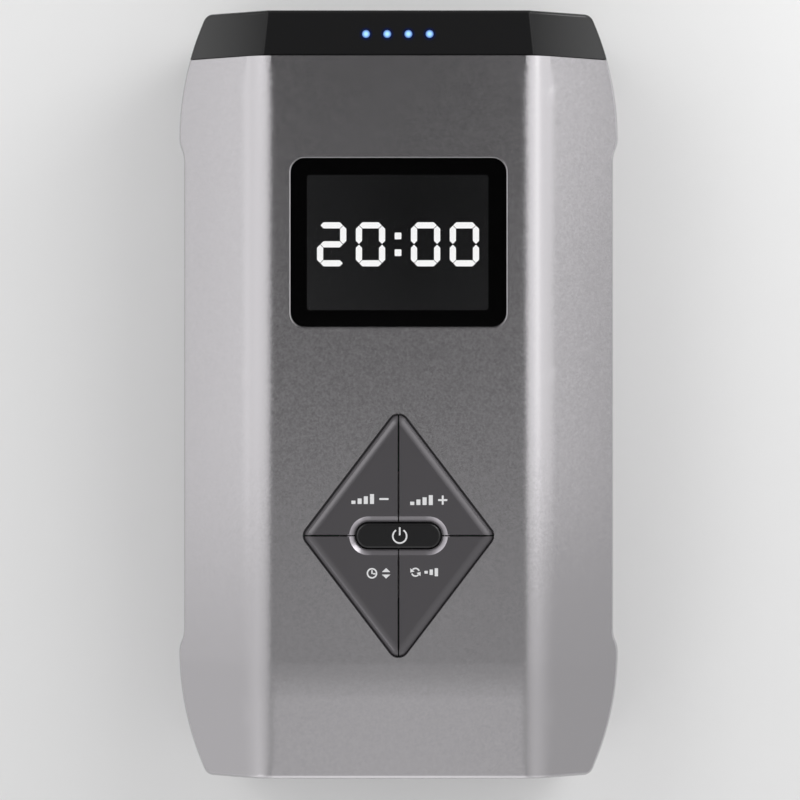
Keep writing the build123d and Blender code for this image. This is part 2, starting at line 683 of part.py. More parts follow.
with BuildPart() as lcd_frame:
    with BuildSketch(Plane((0, LENS_Y, LCD_Z))):
        Rectangle(LCD_WIDTH, LCD_HEIGHT)
    extrude(amount=LCD_THICKNESS)
    with BuildSketch(Plane((0, LENS_Y, LCD_Z + LCD_FLOOR))):
        Rectangle(LCD_VIEW_WIDTH, LCD_VIEW_HEIGHT)
    extrude(amount=LCD_THICKNESS, mode=Mode.SUBTRACT)
    with BuildSketch(Plane((0, LENS_Y, BOARD_TOP_Z))):
        with GridLocations(LCD_WIDTH - 2 * LCD_LEG_INSET, LCD_HEIGHT - 2 * LCD_LEG_INSET, 2, 2):
            Circle(LCD_LEG_R)
    extrude(amount=LCD_Z - BOARD_TOP_Z)
finish(lcd_frame, "lcd_frame")

with BuildPart() as lcd_panel:
    with BuildSketch(Plane((0, LENS_Y, LCD_Z + LCD_FLOOR))):
        Rectangle(LCD_VIEW_WIDTH - 2 * LCD_GAP, LCD_VIEW_HEIGHT - 2 * LCD_GAP)
    extrude(amount=LCD_THICKNESS - LCD_FLOOR - LCD_GAP)
finish(lcd_panel, "lcd_panel")

# ------------------------------------------------------------------ keypad
MOAT_GROW = KEY_GAP + MOAT_WIDTH
with BuildPart() as key_plate:
    with BuildSketch(keypad_plane(FACE_Z + KEY_RISE - 2 * KEY_CROWN_R)):
        add(diamond(KEY_CROWN_R - KEY_CROWN_WIDTH - KEY_GAP))
    extrude(amount=2 * KEY_CROWN_R)
    fillet(key_plate.edges().group_by(Axis.Z)[-1], KEY_CROWN_R)
    with BuildSketch(keypad_plane(KEY_BOTTOM_Z)):
        add(diamond(-KEY_GAP))
    extrude(amount=FACE_Z + KEY_RISE - KEY_BOTTOM_Z, mode=Mode.INTERSECT)
    # Steeper bevel outside the crown, below and inside the case's own edge
    with BuildPart(mode=Mode.PRIVATE) as bevel_form:
        with BuildSketch(keypad_plane(FACE_Z - KEY_BEVEL)):
            add(diamond(-KEY_GAP))
        extrude(amount=KEY_RISE + KEY_BEVEL + CUT_REACH, taper=BEVEL_TAPER)
        extrude(bevel_form.faces().sort_by(Axis.Z)[0], amount=FACE_Z)
    add(bevel_form.part, mode=Mode.INTERSECT)
    with BuildSketch(keypad_plane(KEY_BOTTOM_Z)):
        add(diamond(KEY_FLANGE))
    extrude(amount=KEY_FLANGE_THICKNESS)
    with BuildSketch(keypad_plane(KEY_BOTTOM_Z)):
        SlotOverall(PILL_WIDTH + 2 * KEY_GAP, PILL_HEIGHT + 2 * KEY_GAP)
    extrude(amount=FACE_Z, mode=Mode.SUBTRACT)
    with BuildSketch(keypad_plane(FACE_Z + KEY_RISE)):
        SlotOverall(PILL_WIDTH + 2 * MOAT_GROW, PILL_HEIGHT + 2 * MOAT_GROW)
    extrude(amount=-MOAT_DEPTH, taper=degrees(atan(MOAT_WIDTH / MOAT_DEPTH)), mode=Mode.SUBTRACT)
    # Shallow V along both splits, which leaves a bevel on each key
    groove = KEY_GAP / 2 + KEY_EDGE
    crown = (0, KEYPAD_Y, FACE_Z + KEY_RISE)
    for split_plane in (Plane(crown, (1, 0, 0), (0, -1, 0)), Plane(crown, (0, 1, 0), (1, 0, 0))):
        with BuildSketch(split_plane):
            with BuildLine():
                Polyline((-groove, 0), (groove, 0), (0, -groove), close=True)
            make_face()
        extrude(amount=2 * KEYPAD_HALF_HEIGHT, both=True, mode=Mode.SUBTRACT)

with BuildPart() as corner_key:
    add(key_plate.part)
    quarter_x = KEYPAD_HALF_WIDTH * 2
    quarter_y = KEYPAD_HALF_HEIGHT * 2
    with BuildSketch(keypad_plane(KEY_BOTTOM_Z)):
        with Locations(((quarter_x + KEY_GAP) / 2, (quarter_y + KEY_GAP) / 2)):
            Rectangle(quarter_x, quarter_y)
    extrude(amount=FACE_Z, mode=Mode.INTERSECT)
    with BuildSketch(keypad_plane(STEM_END_Z)):
        with Locations((STEM_X, STEM_Y)):
            Circle(STEM_R)
    extrude(amount=KEY_BOTTOM_Z - STEM_END_Z)

sideways = Plane.YZ
endways = Plane.XZ.offset(-KEYPAD_Y)
for name, mirrors in (
    ("key_pressure_up", ()),
    ("key_pressure_down", (sideways,)),
    ("key_mode", (endways,)),
    ("key_time", (sideways, endways)),
):
    with BuildPart() as key:
        add(corner_key.part)
        for about in mirrors:
            mirror(about=about, mode=Mode.REPLACE)
    finish(key, name)

with BuildPart() as power_button:
    with BuildSketch(keypad_plane(PILL_FLANGE_Z)):
        SlotOverall(PILL_WIDTH, PILL_HEIGHT)
    extrude(amount=FACE_Z + KEY_RISE - PILL_DROP - PILL_FLANGE_Z)
    fillet(power_button.edges().group_by(Axis.Z)[-1], PILL_EDGE_R)
    with BuildSketch(keypad_plane(PILL_FLANGE_Z)):
        SlotOverall(PILL_WIDTH + 2 * PILL_FLANGE, PILL_HEIGHT + 2 * PILL_FLANGE)
    extrude(amount=PILL_FLANGE_THICKNESS)
    with BuildSketch(keypad_plane(STEM_END_Z)):
        Circle(STEM_R)
    extrude(amount=PILL_FLANGE_Z - STEM_END_Z)
finish(power_button, "power_button")

with BuildPart() as key_frame:
    with BuildSketch(keypad_plane(KEY_FRAME_TOP_Z - KEY_FRAME_THICKNESS)):
        RectangleRounded(KEY_FRAME_WIDTH, KEY_FRAME_HEIGHT, KEY_FRAME_LEG_INSET)
        with Locations((0, 0), *STEMS):
            Circle(STEM_R + STEM_FIT, mode=Mode.SUBTRACT)
    extrude(amount=KEY_FRAME_THICKNESS)
    leg_x = KEY_FRAME_WIDTH - 2 * KEY_FRAME_LEG_INSET
    leg_y = KEY_FRAME_HEIGHT - 2 * KEY_FRAME_LEG_INSET
    with BuildSketch(keypad_plane(BOARD_TOP_Z)):
        with GridLocations(leg_x, leg_y, 2, 2):
            Circle(KEY_FRAME_LEG_R)
    extrude(amount=KEY_FRAME_TOP_Z - KEY_FRAME_THICKNESS - BOARD_TOP_Z)
finish(key_frame, "key_frame")

with BuildPart() as tact_switches:
    with BuildSketch(keypad_plane(BOARD_TOP_Z)):
        with Locations((0, 0), *STEMS):
            Rectangle(SWITCH_SIZE, SWITCH_SIZE)
    extrude(amount=SWITCH_HEIGHT)
    with BuildSketch(keypad_plane(BOARD_TOP_Z + SWITCH_HEIGHT)):
        with Locations((0, 0), *STEMS):
            Circle(ACTUATOR_R)
    extrude(amount=ACTUATOR_HEIGHT)
finish(tact_switches, "tact_switches")

with BuildPart() as control_board:
    with BuildSketch(Plane.XY.offset(BOARD_TOP_Z)):
        Rectangle(BOARD_WIDTH, BOARD_LENGTH)
        with Locations(*BOARD_SCREWS):
            Circle(BOARD_SCREW_R + SCREW_FIT, mode=Mode.SUBTRACT)
    extrude(amount=-BOARD_THICKNESS)
finish(control_board, "control_board")

with BuildPart() as board_screws:
    add(posts(BOARD_SCREWS, BOARD_SCREW_R, BOARD_TOP_Z - BOARD_THICKNESS,
              BOARD_TOP_Z - BOARD_THICKNESS + BOARD_SCREW_LENGTH))
    add(posts(BOARD_SCREWS, BOARD_SCREW_HEAD_R, BOARD_TOP_Z - BOARD_THICKNESS - BOARD_SCREW_HEAD_HEIGHT,
              BOARD_TOP_Z - BOARD_THICKNESS))
finish(board_screws, "board_screws")

# ------------------------------------------------------------------ charge lamps
LAMP_CHIP_TOP_Z = LAMP_BOARD_Z + LAMP_BOARD_THICKNESS + LAMP_CHIP_HEIGHT
with BuildPart() as light_pipes:
    add(posts(LAMPS, LAMP_R, LAMP_CHIP_TOP_Z + LAMP_AIR, FACE_Z + LAMP_PROUD))
    add(posts(LAMPS, LAMP_HEAD_R, LAMP_CHIP_TOP_Z + LAMP_AIR, FACE_Z - CAP_WALL))
finish(light_pipes, "light_pipes")

with BuildPart() as lamp_board:
    with BuildSketch(Plane((0, LAMP_Y, LAMP_BOARD_Z))):
        Rectangle(LAMP_BOARD_LENGTH, LAMP_BOARD_WIDTH)
    extrude(amount=LAMP_BOARD_THICKNESS)
    with BuildSketch(Plane.XY.offset(LAMP_BOARD_Z + LAMP_BOARD_THICKNESS)):
        with Locations(*LAMPS):
            Rectangle(LAMP_CHIP, LAMP_CHIP)
    extrude(amount=LAMP_CHIP_HEIGHT)
finish(lamp_board, "lamp_board")

# ------------------------------------------------------------------ fasteners, feet, intake
with BuildPart() as housing_screws:
    add(posts(CASE_SCREWS, SCREW_R, SCREW_HEAD_TOP_Z, SCREW_HEAD_TOP_Z + SCREW_LENGTH))
    add(posts(CASE_SCREWS, SCREW_HEAD_R, SCREW_HEAD_TOP_Z - SCREW_HEAD_HEIGHT, SCREW_HEAD_TOP_Z))
finish(housing_screws, "housing_screws")

with BuildPart() as rubber_feet:
    add(posts(FEET, FOOT_R, 0, BACK_Z + FOOT_SEAT))
    fillet(rubber_feet.edges().group_by(Axis.Z)[0], FOOT_EDGE_R)
finish(rubber_feet, "rubber_feet")

with BuildPart() as intake_filter:
    with BuildSketch(Plane((VENT_X, VENT_Y, INNER_Z))):
        Rectangle(VENT_LENGTH + 2 * FILTER_MARGIN, VENT_SPACING * (VENT_COUNT - 1) + 2 * FILTER_MARGIN)
    extrude(amount=FILTER_THICKNESS)
finish(intake_filter, "intake_filter")

# ------------------------------------------------------------------ charging socket
with BuildPart() as charging_jack:
    with BuildSketch(port_plane(WAIST_X)):
        Rectangle(JACK_SIZE, JACK_SIZE)
    extrude(amount=-JACK_DEPTH)
    with BuildSketch(port_plane(WAIST_X)):
        Circle(JACK_BORE_R)
        Circle(JACK_PIN_R, mode=Mode.SUBTRACT)
    extrude(amount=-JACK_BORE_DEPTH, mode=Mode.SUBTRACT)
finish(charging_jack, "charging_jack")

with BuildPart() as port_bezel:
    with BuildSketch(port_plane(WAIST_X)):
        RectangleRounded(BEZEL_LENGTH, BEZEL_HEIGHT, BEZEL_CORNER_R)
        Circle(BEZEL_MOUTH_R, mode=Mode.SUBTRACT)
    extrude(amount=BEZEL_PROUD)
    fillet(port_bezel.edges().group_by(Axis.X)[-1], BEZEL_EDGE_R)
finish(port_bezel, "port_bezel")

# ------------------------------------------------------------------ air sockets
with BuildPart() as air_sockets:
    with BuildSketch(end_plane(SOCKET_BACK_Y)):
        with GridLocations(2 * SOCKET_X, 1, 2, 1):
            RectangleRounded(SOCKET_WIDTH, SOCKET_HEIGHT, SOCKET_CORNER_R)
    extrude(amount=SOCKET_DEPTH)
    flange = (SOCKET_WIDTH + 2 * SOCKET_FLANGE, SOCKET_HEIGHT + 2 * SOCKET_FLANGE)
    with BuildSketch(end_plane(HALF_LENGTH - CAP_WALL - SOCKET_FLANGE_THICKNESS)):
        with GridLocations(2 * SOCKET_X, 1, 2, 1):
            RectangleRounded(*flange, SOCKET_CORNER_R)
    extrude(amount=SOCKET_FLANGE_THICKNESS)
    with BuildSketch(end_plane(HALF_LENGTH)):
        with Locations(*[(x, 0) for x in PORTS]):
            Circle(SOCKET_PORT_R)
    extrude(amount=-SOCKET_DEPTH, mode=Mode.SUBTRACT)
finish(air_sockets, "air_sockets")

with BuildPart() as outlet_hoses:
    with BuildSketch(end_plane(MANIFOLD_FACE_Y)):
        with Locations(*[(x, 0) for x in PORTS]):
            Circle(NIPPLE_R + HOSE_FIT + HOSE_WALL / 2)
            Circle(NIPPLE_BORE_R, mode=Mode.SUBTRACT)
    extrude(amount=SOCKET_BACK_Y - MANIFOLD_FACE_Y)
finish(outlet_hoses, "outlet_hoses")

# ------------------------------------------------------------------ air pump
def pump_plane(y):
    """Plane square to the motor shaft; its X is the case's X."""
    return Plane((PUMP_X, y, PUMP_Z), x_dir=(1, 0, 0), z_dir=(0, -1, 0))


MAGNET_INNER_R = MOTOR_R - MOTOR_WALL - MAGNET_THICKNESS
ARMATURE_R = MAGNET_INNER_R - ARMATURE_AIR

with BuildPart() as motor_can:
    with BuildSketch(pump_plane(MOTOR_FRONT_Y)):
        Circle(MOTOR_R)
    extrude(amount=MOTOR_LENGTH)
    fillet(motor_can.edges().group_by(Axis.Y)[0], MOTOR_WALL)
    with BuildSketch(pump_plane(MOTOR_FRONT_Y - MOTOR_WALL)):
        Circle(MOTOR_R - MOTOR_WALL)
    extrude(amount=MOTOR_LENGTH - 2 * MOTOR_WALL, mode=Mode.SUBTRACT)
    with BuildSketch(pump_plane(MOTOR_FRONT_Y)):
        Circle(BUSH_R)
    extrude(amount=MOTOR_LENGTH, mode=Mode.SUBTRACT)
finish(motor_can, "motor_can")

with BuildPart() as motor_bushes:
    for bush_y in (MOTOR_FRONT_Y, MOTOR_REAR_Y + BUSH_LENGTH):
        with BuildSketch(pump_plane(bush_y)):
            Circle(BUSH_R)
            Circle(SHAFT_R + SHAFT_FIT, mode=Mode.SUBTRACT)
        extrude(amount=BUSH_LENGTH)
finish(motor_bushes, "motor_bushes")

with BuildPart() as motor_magnets:
    with BuildSketch(pump_plane(MOTOR_FRONT_Y - BUSH_LENGTH)):
        Circle(MOTOR_R - MOTOR_WALL)
        Circle(MAGNET_INNER_R, mode=Mode.SUBTRACT)
        with PolarLocations(0, 2, start_angle=90):
            Rectangle(2 * MOTOR_R, 2 * MOTOR_R * cos(radians(MAGNET_ANGLE / 2)), mode=Mode.SUBTRACT)
    extrude(amount=MOTOR_LENGTH - 2 * BUSH_LENGTH)
finish(motor_magnets, "motor_magnets")

with BuildPart() as motor_shaft:
    with BuildSketch(pump_plane(ECCENTRIC_FRONT_Y)):
        Circle(SHAFT_R)
    extrude(amount=ECCENTRIC_FRONT_Y - MOTOR_REAR_Y + SHAFT_END)
finish(motor_shaft, "motor_shaft")

ARMATURE_FRONT_Y = MOTOR_FRONT_Y - BUSH_LENGTH - ARMATURE_END_GAP
with BuildPart() as armature:
    with BuildSketch(pump_plane(ARMATURE_FRONT_Y)):
        Circle(ARMATURE_R)
        with PolarLocations(ARMATURE_R, ARMATURE_POLES):
            Rectangle(ARMATURE_R, ARMATURE_SLOT, mode=Mode.SUBTRACT)
    extrude(amount=ARMATURE_LENGTH)
    with BuildSketch(pump_plane(ARMATURE_FRONT_Y - ARMATURE_LENGTH)):
        Circle(COMMUTATOR_R)
    extrude(amount=COMMUTATOR_LENGTH)
    with BuildSketch(pump_plane(ARMATURE_FRONT_Y)):
        Circle(SHAFT_R)
    extrude(amount=ARMATURE_LENGTH + COMMUTATOR_LENGTH, mode=Mode.SUBTRACT)
finish(armature, "armature")

with BuildPart() as eccentric:
    with BuildSketch(pump_plane(ECCENTRIC_FRONT_Y)):
        with Locations((ECCENTRICITY, 0)):
            Circle(ECCENTRIC_R)
    extrude(amount=ECCENTRIC_LENGTH)
    with BuildSketch(pump_plane(ECCENTRIC_Y - ECCENTRIC_LENGTH / 2)):
        with BuildLine():
            ThreePointArc((0, WEIGHT_R), (-WEIGHT_R, 0), (0, -WEIGHT_R))
            Line((0, -WEIGHT_R), (0, WEIGHT_R))
        make_face()
        Circle(ECCENTRIC_R - ECCENTRICITY)
    extrude(amount=WEIGHT_THICKNESS)
    with BuildSketch(pump_plane(ECCENTRIC_FRONT_Y)):
        Circle(SHAFT_R)
    extrude(amount=ECCENTRIC_LENGTH + WEIGHT_THICKNESS, mode=Mode.SUBTRACT)
finish(eccentric, "eccentric")

ROD_DISC_TOP_Z = DIAPHRAGM_Z - ECCENTRICITY - ROD_HEAD_GAP
with BuildPart() as connecting_rod:
    with BuildSketch(pump_plane(ECCENTRIC_FRONT_Y)):
        with Locations((ECCENTRICITY, 0)):
            Circle(ECCENTRIC_R + ROD_FIT + ROD_WALL)
    extrude(amount=ECCENTRIC_LENGTH - WEIGHT_GAP)
    rod_plane = Plane((PUMP_X + ECCENTRICITY, ECCENTRIC_Y + WEIGHT_GAP / 2, PUMP_Z))
    with BuildSketch(rod_plane):
        Circle(ROD_NECK_R)
    extrude(amount=ROD_DISC_TOP_Z - PUMP_Z)
    with BuildSketch(rod_plane.offset(ROD_DISC_TOP_Z - PUMP_Z)):
        Circle(ROD_DISC_R)
    extrude(amount=-ROD_DISC_THICKNESS)
    with BuildSketch(pump_plane(ECCENTRIC_FRONT_Y)):
        with Locations((ECCENTRICITY, 0)):
            Circle(ECCENTRIC_R + ROD_FIT)
    extrude(amount=ECCENTRIC_LENGTH, mode=Mode.SUBTRACT)
finish(connecting_rod, "connecting_rod")


def pump_level(z):
    """Plane level with the front face, centred over the crankcase."""
    return Plane((PUMP_X, CRANKCASE_MID_Y, z))


PUMP_SCREW_GRID = (CRANKCASE_WIDTH - 2 * PUMP_SCREW_INSET, CRANKCASE_LENGTH - 2 * PUMP_SCREW_INSET)
with BuildPart() as pump_crankcase:
    with BuildSketch(pump_level(CRANKCASE_FLOOR_Z)):
        Rectangle(CRANKCASE_WIDTH, CRANKCASE_LENGTH)
    extrude(amount=DIAPHRAGM_Z - CRANKCASE_FLOOR_Z)
    fillet(pump_crankcase.edges().filter_by(Axis.Z), PUMP_SCREW_INSET)
    with BuildSketch(pump_level(CRANKCASE_FLOOR_Z)):
        RectangleRounded(FOOT_PLATE_WIDTH, CRANKCASE_LENGTH, PUMP_SCREW_INSET)
    extrude(amount=FOOT_PLATE_THICKNESS)
    with BuildSketch(pump_level(CRANKCASE_FLOOR_Z + CRANKCASE_WALL)):
        Rectangle(CRANKCASE_WIDTH - 2 * CRANKCASE_WALL, CRANKCASE_LENGTH - 2 * CRANKCASE_WALL)
    extrude(amount=DIAPHRAGM_Z, mode=Mode.SUBTRACT)
    with BuildSketch(pump_plane(MOTOR_FRONT_Y + CRANKCASE_WALL)):
        Circle(BUSH_R)
    extrude(amount=CRANKCASE_WALL, mode=Mode.SUBTRACT)
    with BuildSketch(pump_level(DIAPHRAGM_Z)):
        with GridLocations(*PUMP_SCREW_GRID, 2, 2):
            Circle(PUMP_SCREW_R + SCREW_FIT)
    extrude(amount=-PUMP_SCREW_LENGTH, mode=Mode.SUBTRACT)
finish(pump_crankcase, "pump_crankcase")

with BuildPart() as pump_diaphragm:
    with BuildSketch(pump_level(DIAPHRAGM_Z)):
        RectangleRounded(CRANKCASE_WIDTH, CRANKCASE_LENGTH, PUMP_SCREW_INSET)
        with GridLocations(*PUMP_SCREW_GRID, 2, 2):
            Circle(PUMP_SCREW_R + SCREW_FIT, mode=Mode.SUBTRACT)
    extrude(amount=DIAPHRAGM_THICKNESS)
    with BuildSketch(pump_level(DIAPHRAGM_Z + DIAPHRAGM_THICKNESS)):
        Circle(ROD_DISC_R + 2 * DIAPHRAGM_BEAD)
        Circle(ROD_DISC_R, mode=Mode.SUBTRACT)
    extrude(amount=-DIAPHRAGM_BEAD, mode=Mode.SUBTRACT)
finish(pump_diaphragm, "pump_diaphragm")

with BuildPart() as valve_plate:
    with BuildSketch(pump_level(VALVE_PLATE_Z)):
        RectangleRounded(CRANKCASE_WIDTH, CRANKCASE_LENGTH, PUMP_SCREW_INSET)
        with GridLocations(*PUMP_SCREW_GRID, 2, 2):
            Circle(PUMP_SCREW_R + SCREW_FIT, mode=Mode.SUBTRACT)
        with GridLocations(2 * NIPPLE_R + COVER_WALL, 1, 2, 1):
            Circle(NIPPLE_BORE_R, mode=Mode.SUBTRACT)
    extrude(amount=VALVE_PLATE_THICKNESS)
finish(valve_plate, "valve_plate")

with BuildPart() as pump_cover:
    with BuildSketch(pump_level(COVER_Z)):
        RectangleRounded(CRANKCASE_WIDTH, CRANKCASE_LENGTH, PUMP_SCREW_INSET)
    extrude(amount=COVER_HEIGHT)
    fillet(pump_cover.edges().group_by(Axis.Z)[-1], PUMP_SCREW_INSET / 2)
    chamber_x = CRANKCASE_WIDTH / 2 - 2 * PUMP_SCREW_INSET - COVER_WALL
    chamber_y = CRANKCASE_LENGTH - 4 * PUMP_SCREW_INSET - 2 * COVER_WALL
    with BuildSketch(pump_level(COVER_Z)):
        with GridLocations(chamber_x + COVER_WALL, 1, 2, 1):
            Rectangle(chamber_x, chamber_y)
    extrude(amount=COVER_HEIGHT - COVER_WALL, mode=Mode.SUBTRACT)
    with BuildSketch(pump_level(COVER_Z)):
        with GridLocations(*PUMP_SCREW_GRID, 2, 2):
            Circle(PUMP_SCREW_R + SCREW_FIT)
    extrude(amount=COVER_HEIGHT, mode=Mode.SUBTRACT)
    cover_end = Plane((PUMP_X, COVER_END_Y, NIPPLE_Z), x_dir=(-1, 0, 0), z_dir=(0, 1, 0))
    with BuildSketch(cover_end):
        Circle(NIPPLE_R)
    extrude(amount=NIPPLE_LENGTH)
    with BuildSketch(cover_end.offset(NIPPLE_LENGTH)):
        Circle(NIPPLE_BORE_R)
    extrude(amount=-NIPPLE_LENGTH - 2 * PUMP_SCREW_INSET - COVER_WALL - CUT_REACH, mode=Mode.SUBTRACT)
finish(pump_cover, "pump_cover")

with BuildPart() as pump_screws:
    with BuildSketch(pump_level(COVER_TOP_Z)):
        with GridLocations(*PUMP_SCREW_GRID, 2, 2):
            Circle(PUMP_SCREW_R)
    extrude(amount=-PUMP_SCREW_LENGTH)
    with BuildSketch(pump_level(COVER_TOP_Z)):
        with GridLocations(*PUMP_SCREW_GRID, 2, 2):
            Circle(PUMP_SCREW_HEAD_R)
    extrude(amount=PUMP_SCREW_R)
finish(pump_screws, "pump_screws")

with BuildPart() as pump_grommets:
    grommet_x = FOOT_PLATE_WIDTH - 2 * GROMMET_R
    grommet_y = CRANKCASE_LENGTH - 2 * GROMMET_R
    with BuildSketch(pump_level(INNER_Z)):
        with GridLocations(grommet_x, grommet_y, 2, 2):
            Circle(GROMMET_R)
    extrude(amount=CRANKCASE_FLOOR_Z - INNER_Z)
finish(pump_grommets, "pump_grommets")

# ------------------------------------------------------------------ manifold and valves
GALLERY_Z = MANIFOLD_Z + MANIFOLD_HEIGHT / 2
inlet_end = Plane((PUMP_X, MANIFOLD_START_Y, SOCKET_Z), x_dir=(1, 0, 0), z_dir=(0, -1, 0))
with BuildPart() as manifold:
    with BuildSketch(Plane((0, MANIFOLD_Y, MANIFOLD_Z))):
        Rectangle(MANIFOLD_WIDTH, MANIFOLD_LENGTH)
    extrude(amount=MANIFOLD_HEIGHT)
    chamfer(manifold.edges().filter_by(Axis.Z), VALVE_EDGE)
    with BuildSketch(inlet_end):
        Circle(NIPPLE_R)
    extrude(amount=NIPPLE_LENGTH)
    with BuildSketch(inlet_end.offset(NIPPLE_LENGTH)):
        Circle(NIPPLE_BORE_R)
    extrude(amount=-NIPPLE_LENGTH - MANIFOLD_LENGTH / 2, mode=Mode.SUBTRACT)
    with BuildSketch(Plane((-MANIFOLD_WIDTH / 2, MANIFOLD_Y, GALLERY_Z), x_dir=(0, 1, 0), z_dir=(1, 0, 0))):
        Circle(GALLERY_R)
    extrude(amount=MANIFOLD_WIDTH, mode=Mode.SUBTRACT)
finish(manifold, "manifold")

with BuildPart() as valve_bodies:
    with BuildSketch(Plane((0, MANIFOLD_Y, VALVE_Z))):
        with GridLocations(VALVE_SPACING, 1, VALVE_COUNT, 1):
            Rectangle(VALVE_SIZE, VALVE_SIZE)
    extrude(amount=VALVE_HEIGHT)
    chamfer(valve_bodies.edges().filter_by(Axis.Z), VALVE_EDGE)
    with BuildSketch(Plane((0, MANIFOLD_Y, VALVE_Z + VALVE_SEAT_WALL))):
        with GridLocations(VALVE_SPACING, 1, VALVE_COUNT, 1):
            Circle(PLUNGER_R + PLUNGER_FIT)
    extrude(amount=2 * PLUNGER_GAP + PLUNGER_LENGTH + PLUNGER_STROKE, mode=Mode.SUBTRACT)
finish(valve_bodies, "valve_bodies")

for number, valve_x in enumerate(VALVES, start=1):
    with BuildPart() as plunger:
        with BuildSketch(Plane((valve_x, MANIFOLD_Y, VALVE_Z + VALVE_SEAT_WALL + PLUNGER_GAP))):
            Circle(PLUNGER_R)
        extrude(amount=PLUNGER_LENGTH)
        chamfer(plunger.edges().group_by(Axis.Z)[0], PLUNGER_GAP)
    finish(plunger, f"valve_plunger_{number}")

with BuildPart() as pressure_sensor:
    with BuildSketch(Plane((-PUMP_X, MANIFOLD_START_Y, SOCKET_Z), x_dir=(1, 0, 0), z_dir=(0, -1, 0))):
        Rectangle(SENSOR_SIZE, SENSOR_SIZE)
    extrude(amount=SENSOR_DEPTH)
finish(pressure_sensor, "pressure_sensor")

HOSE_START_Y = COVER_END_Y + HOSE_GAP
with BuildPart() as pump_hose:
    with BuildLine(Plane.YZ.offset(PUMP_X)) as hose_path:
        FilletPolyline(
            (HOSE_START_Y, NIPPLE_Z),
            (HOSE_TURN_Y, NIPPLE_Z),
            (HOSE_TURN_Y, SOCKET_Z),
            (MANIFOLD_START_Y - HOSE_GAP, SOCKET_Z),
            radius=HOSE_BEND_R,
        )
    with BuildSketch(Plane((PUMP_X, HOSE_START_Y, NIPPLE_Z), x_dir=(-1, 0, 0), z_dir=(0, 1, 0))):
        Circle(NIPPLE_R + HOSE_FIT + HOSE_WALL)
        Circle(NIPPLE_R + HOSE_FIT, mode=Mode.SUBTRACT)
    sweep(path=hose_path.wires()[0])
finish(pump_hose, "pump_hose")

# ------------------------------------------------------------------ battery and power board
with BuildPart() as battery_tray:
    tray_mid_y = TRAY_START_Y + TRAY_LENGTH / 2
    with BuildSketch(Plane((0, tray_mid_y, INNER_Z))):
        Rectangle(TRAY_WIDTH, TRAY_LENGTH)
    extrude(amount=TRAY_HEIGHT)
    with BuildSketch(Plane((0, tray_mid_y, INNER_Z + TRAY_WALL))):
        Rectangle(TRAY_WIDTH - 2 * TRAY_WALL, TRAY_LENGTH - 2 * TRAY_WALL)
    extrude(amount=TRAY_HEIGHT, mode=Mode.SUBTRACT)
finish(battery_tray, "battery_tray")

with BuildPart() as battery_cells:
    with BuildSketch(Plane((0, CELL_START_Y, CELL_Z), x_dir=(-1, 0, 0), z_dir=(0, 1, 0))):
        with GridLocations(CELL_SPACING, 1, CELL_COUNT, 1):
            Circle(CELL_R)
    extrude(amount=CELL_LENGTH)
    with BuildSketch(Plane((0, CELL_START_Y + CELL_LENGTH, CELL_Z), x_dir=(-1, 0, 0), z_dir=(0, 1, 0))):
        with GridLocations(CELL_SPACING, 1, CELL_COUNT, 1):
            Circle(TERMINAL_R)
    extrude(amount=TERMINAL_HEIGHT)
finish(battery_cells, "battery_cells")

with BuildPart() as power_board:
    with BuildSketch(Plane((POWER_BOARD_X, POWER_BOARD_Y, POWER_BOARD_TOP_Z))):
        Rectangle(POWER_BOARD_WIDTH, POWER_BOARD_LENGTH)
    extrude(amount=-BOARD_THICKNESS)
    with BuildSketch(Plane((POWER_BOARD_X, POWER_BOARD_Y - CAPACITOR_OFFSET, POWER_BOARD_TOP_Z))):
        with GridLocations(POWER_BOARD_WIDTH / 2, 1, 2, 1):
            Circle(CAPACITOR_R)
    extrude(amount=CAPACITOR_HEIGHT)
    with BuildSketch(Plane((POWER_BOARD_X, POWER_BOARD_Y - CHIP_OFFSET, POWER_BOARD_TOP_Z))):
        Rectangle(CHIP_SIZE, CHIP_SIZE)
    extrude(amount=CHIP_HEIGHT)
finish(power_board, "power_board")

# ------------------------------------------------------------------ export
os.makedirs("parts", exist_ok=True)
for piece in finished:
    export_step(piece, f"parts/{piece.label}.step")
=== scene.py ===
"""Looks of the compression therapy pump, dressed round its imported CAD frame.

Everything is in metres in the frame of the CAD: +Z is the front face, +Y the end with the
air sockets and +X the side with the charging socket. Each sub-assembly is a class that holds
its sizes and builds its own pieces. Each surface is a finish that wires its own shader nodes.
"""

import logging
import math
from dataclasses import dataclass
from enum import Enum
from functools import reduce
from itertools import product
from typing import Iterable, Mapping, Optional, Sequence, Union

import bmesh
import bpy
from mathutils import Matrix, Vector


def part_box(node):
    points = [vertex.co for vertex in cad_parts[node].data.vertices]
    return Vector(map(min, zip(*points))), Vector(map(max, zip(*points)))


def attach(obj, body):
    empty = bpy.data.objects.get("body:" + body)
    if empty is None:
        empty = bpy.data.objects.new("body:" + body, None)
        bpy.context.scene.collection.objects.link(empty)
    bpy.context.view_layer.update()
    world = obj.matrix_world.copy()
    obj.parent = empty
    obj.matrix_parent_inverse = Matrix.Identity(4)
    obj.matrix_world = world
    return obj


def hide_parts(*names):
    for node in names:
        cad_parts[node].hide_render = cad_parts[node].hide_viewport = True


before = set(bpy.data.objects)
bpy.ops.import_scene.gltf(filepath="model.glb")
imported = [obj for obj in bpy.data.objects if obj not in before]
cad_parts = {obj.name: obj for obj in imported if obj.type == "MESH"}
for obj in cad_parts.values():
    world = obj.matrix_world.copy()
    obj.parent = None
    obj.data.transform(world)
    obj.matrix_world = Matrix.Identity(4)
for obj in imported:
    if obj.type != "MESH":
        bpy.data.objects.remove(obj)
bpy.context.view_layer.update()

LOG = logging.getLogger("pump")
MM = 0.001
CORNER_STEPS = 12
SMALL_CORNER_STEPS = 5
ARC_DEGREES = 6
LEAST_ARC_STEPS = 8
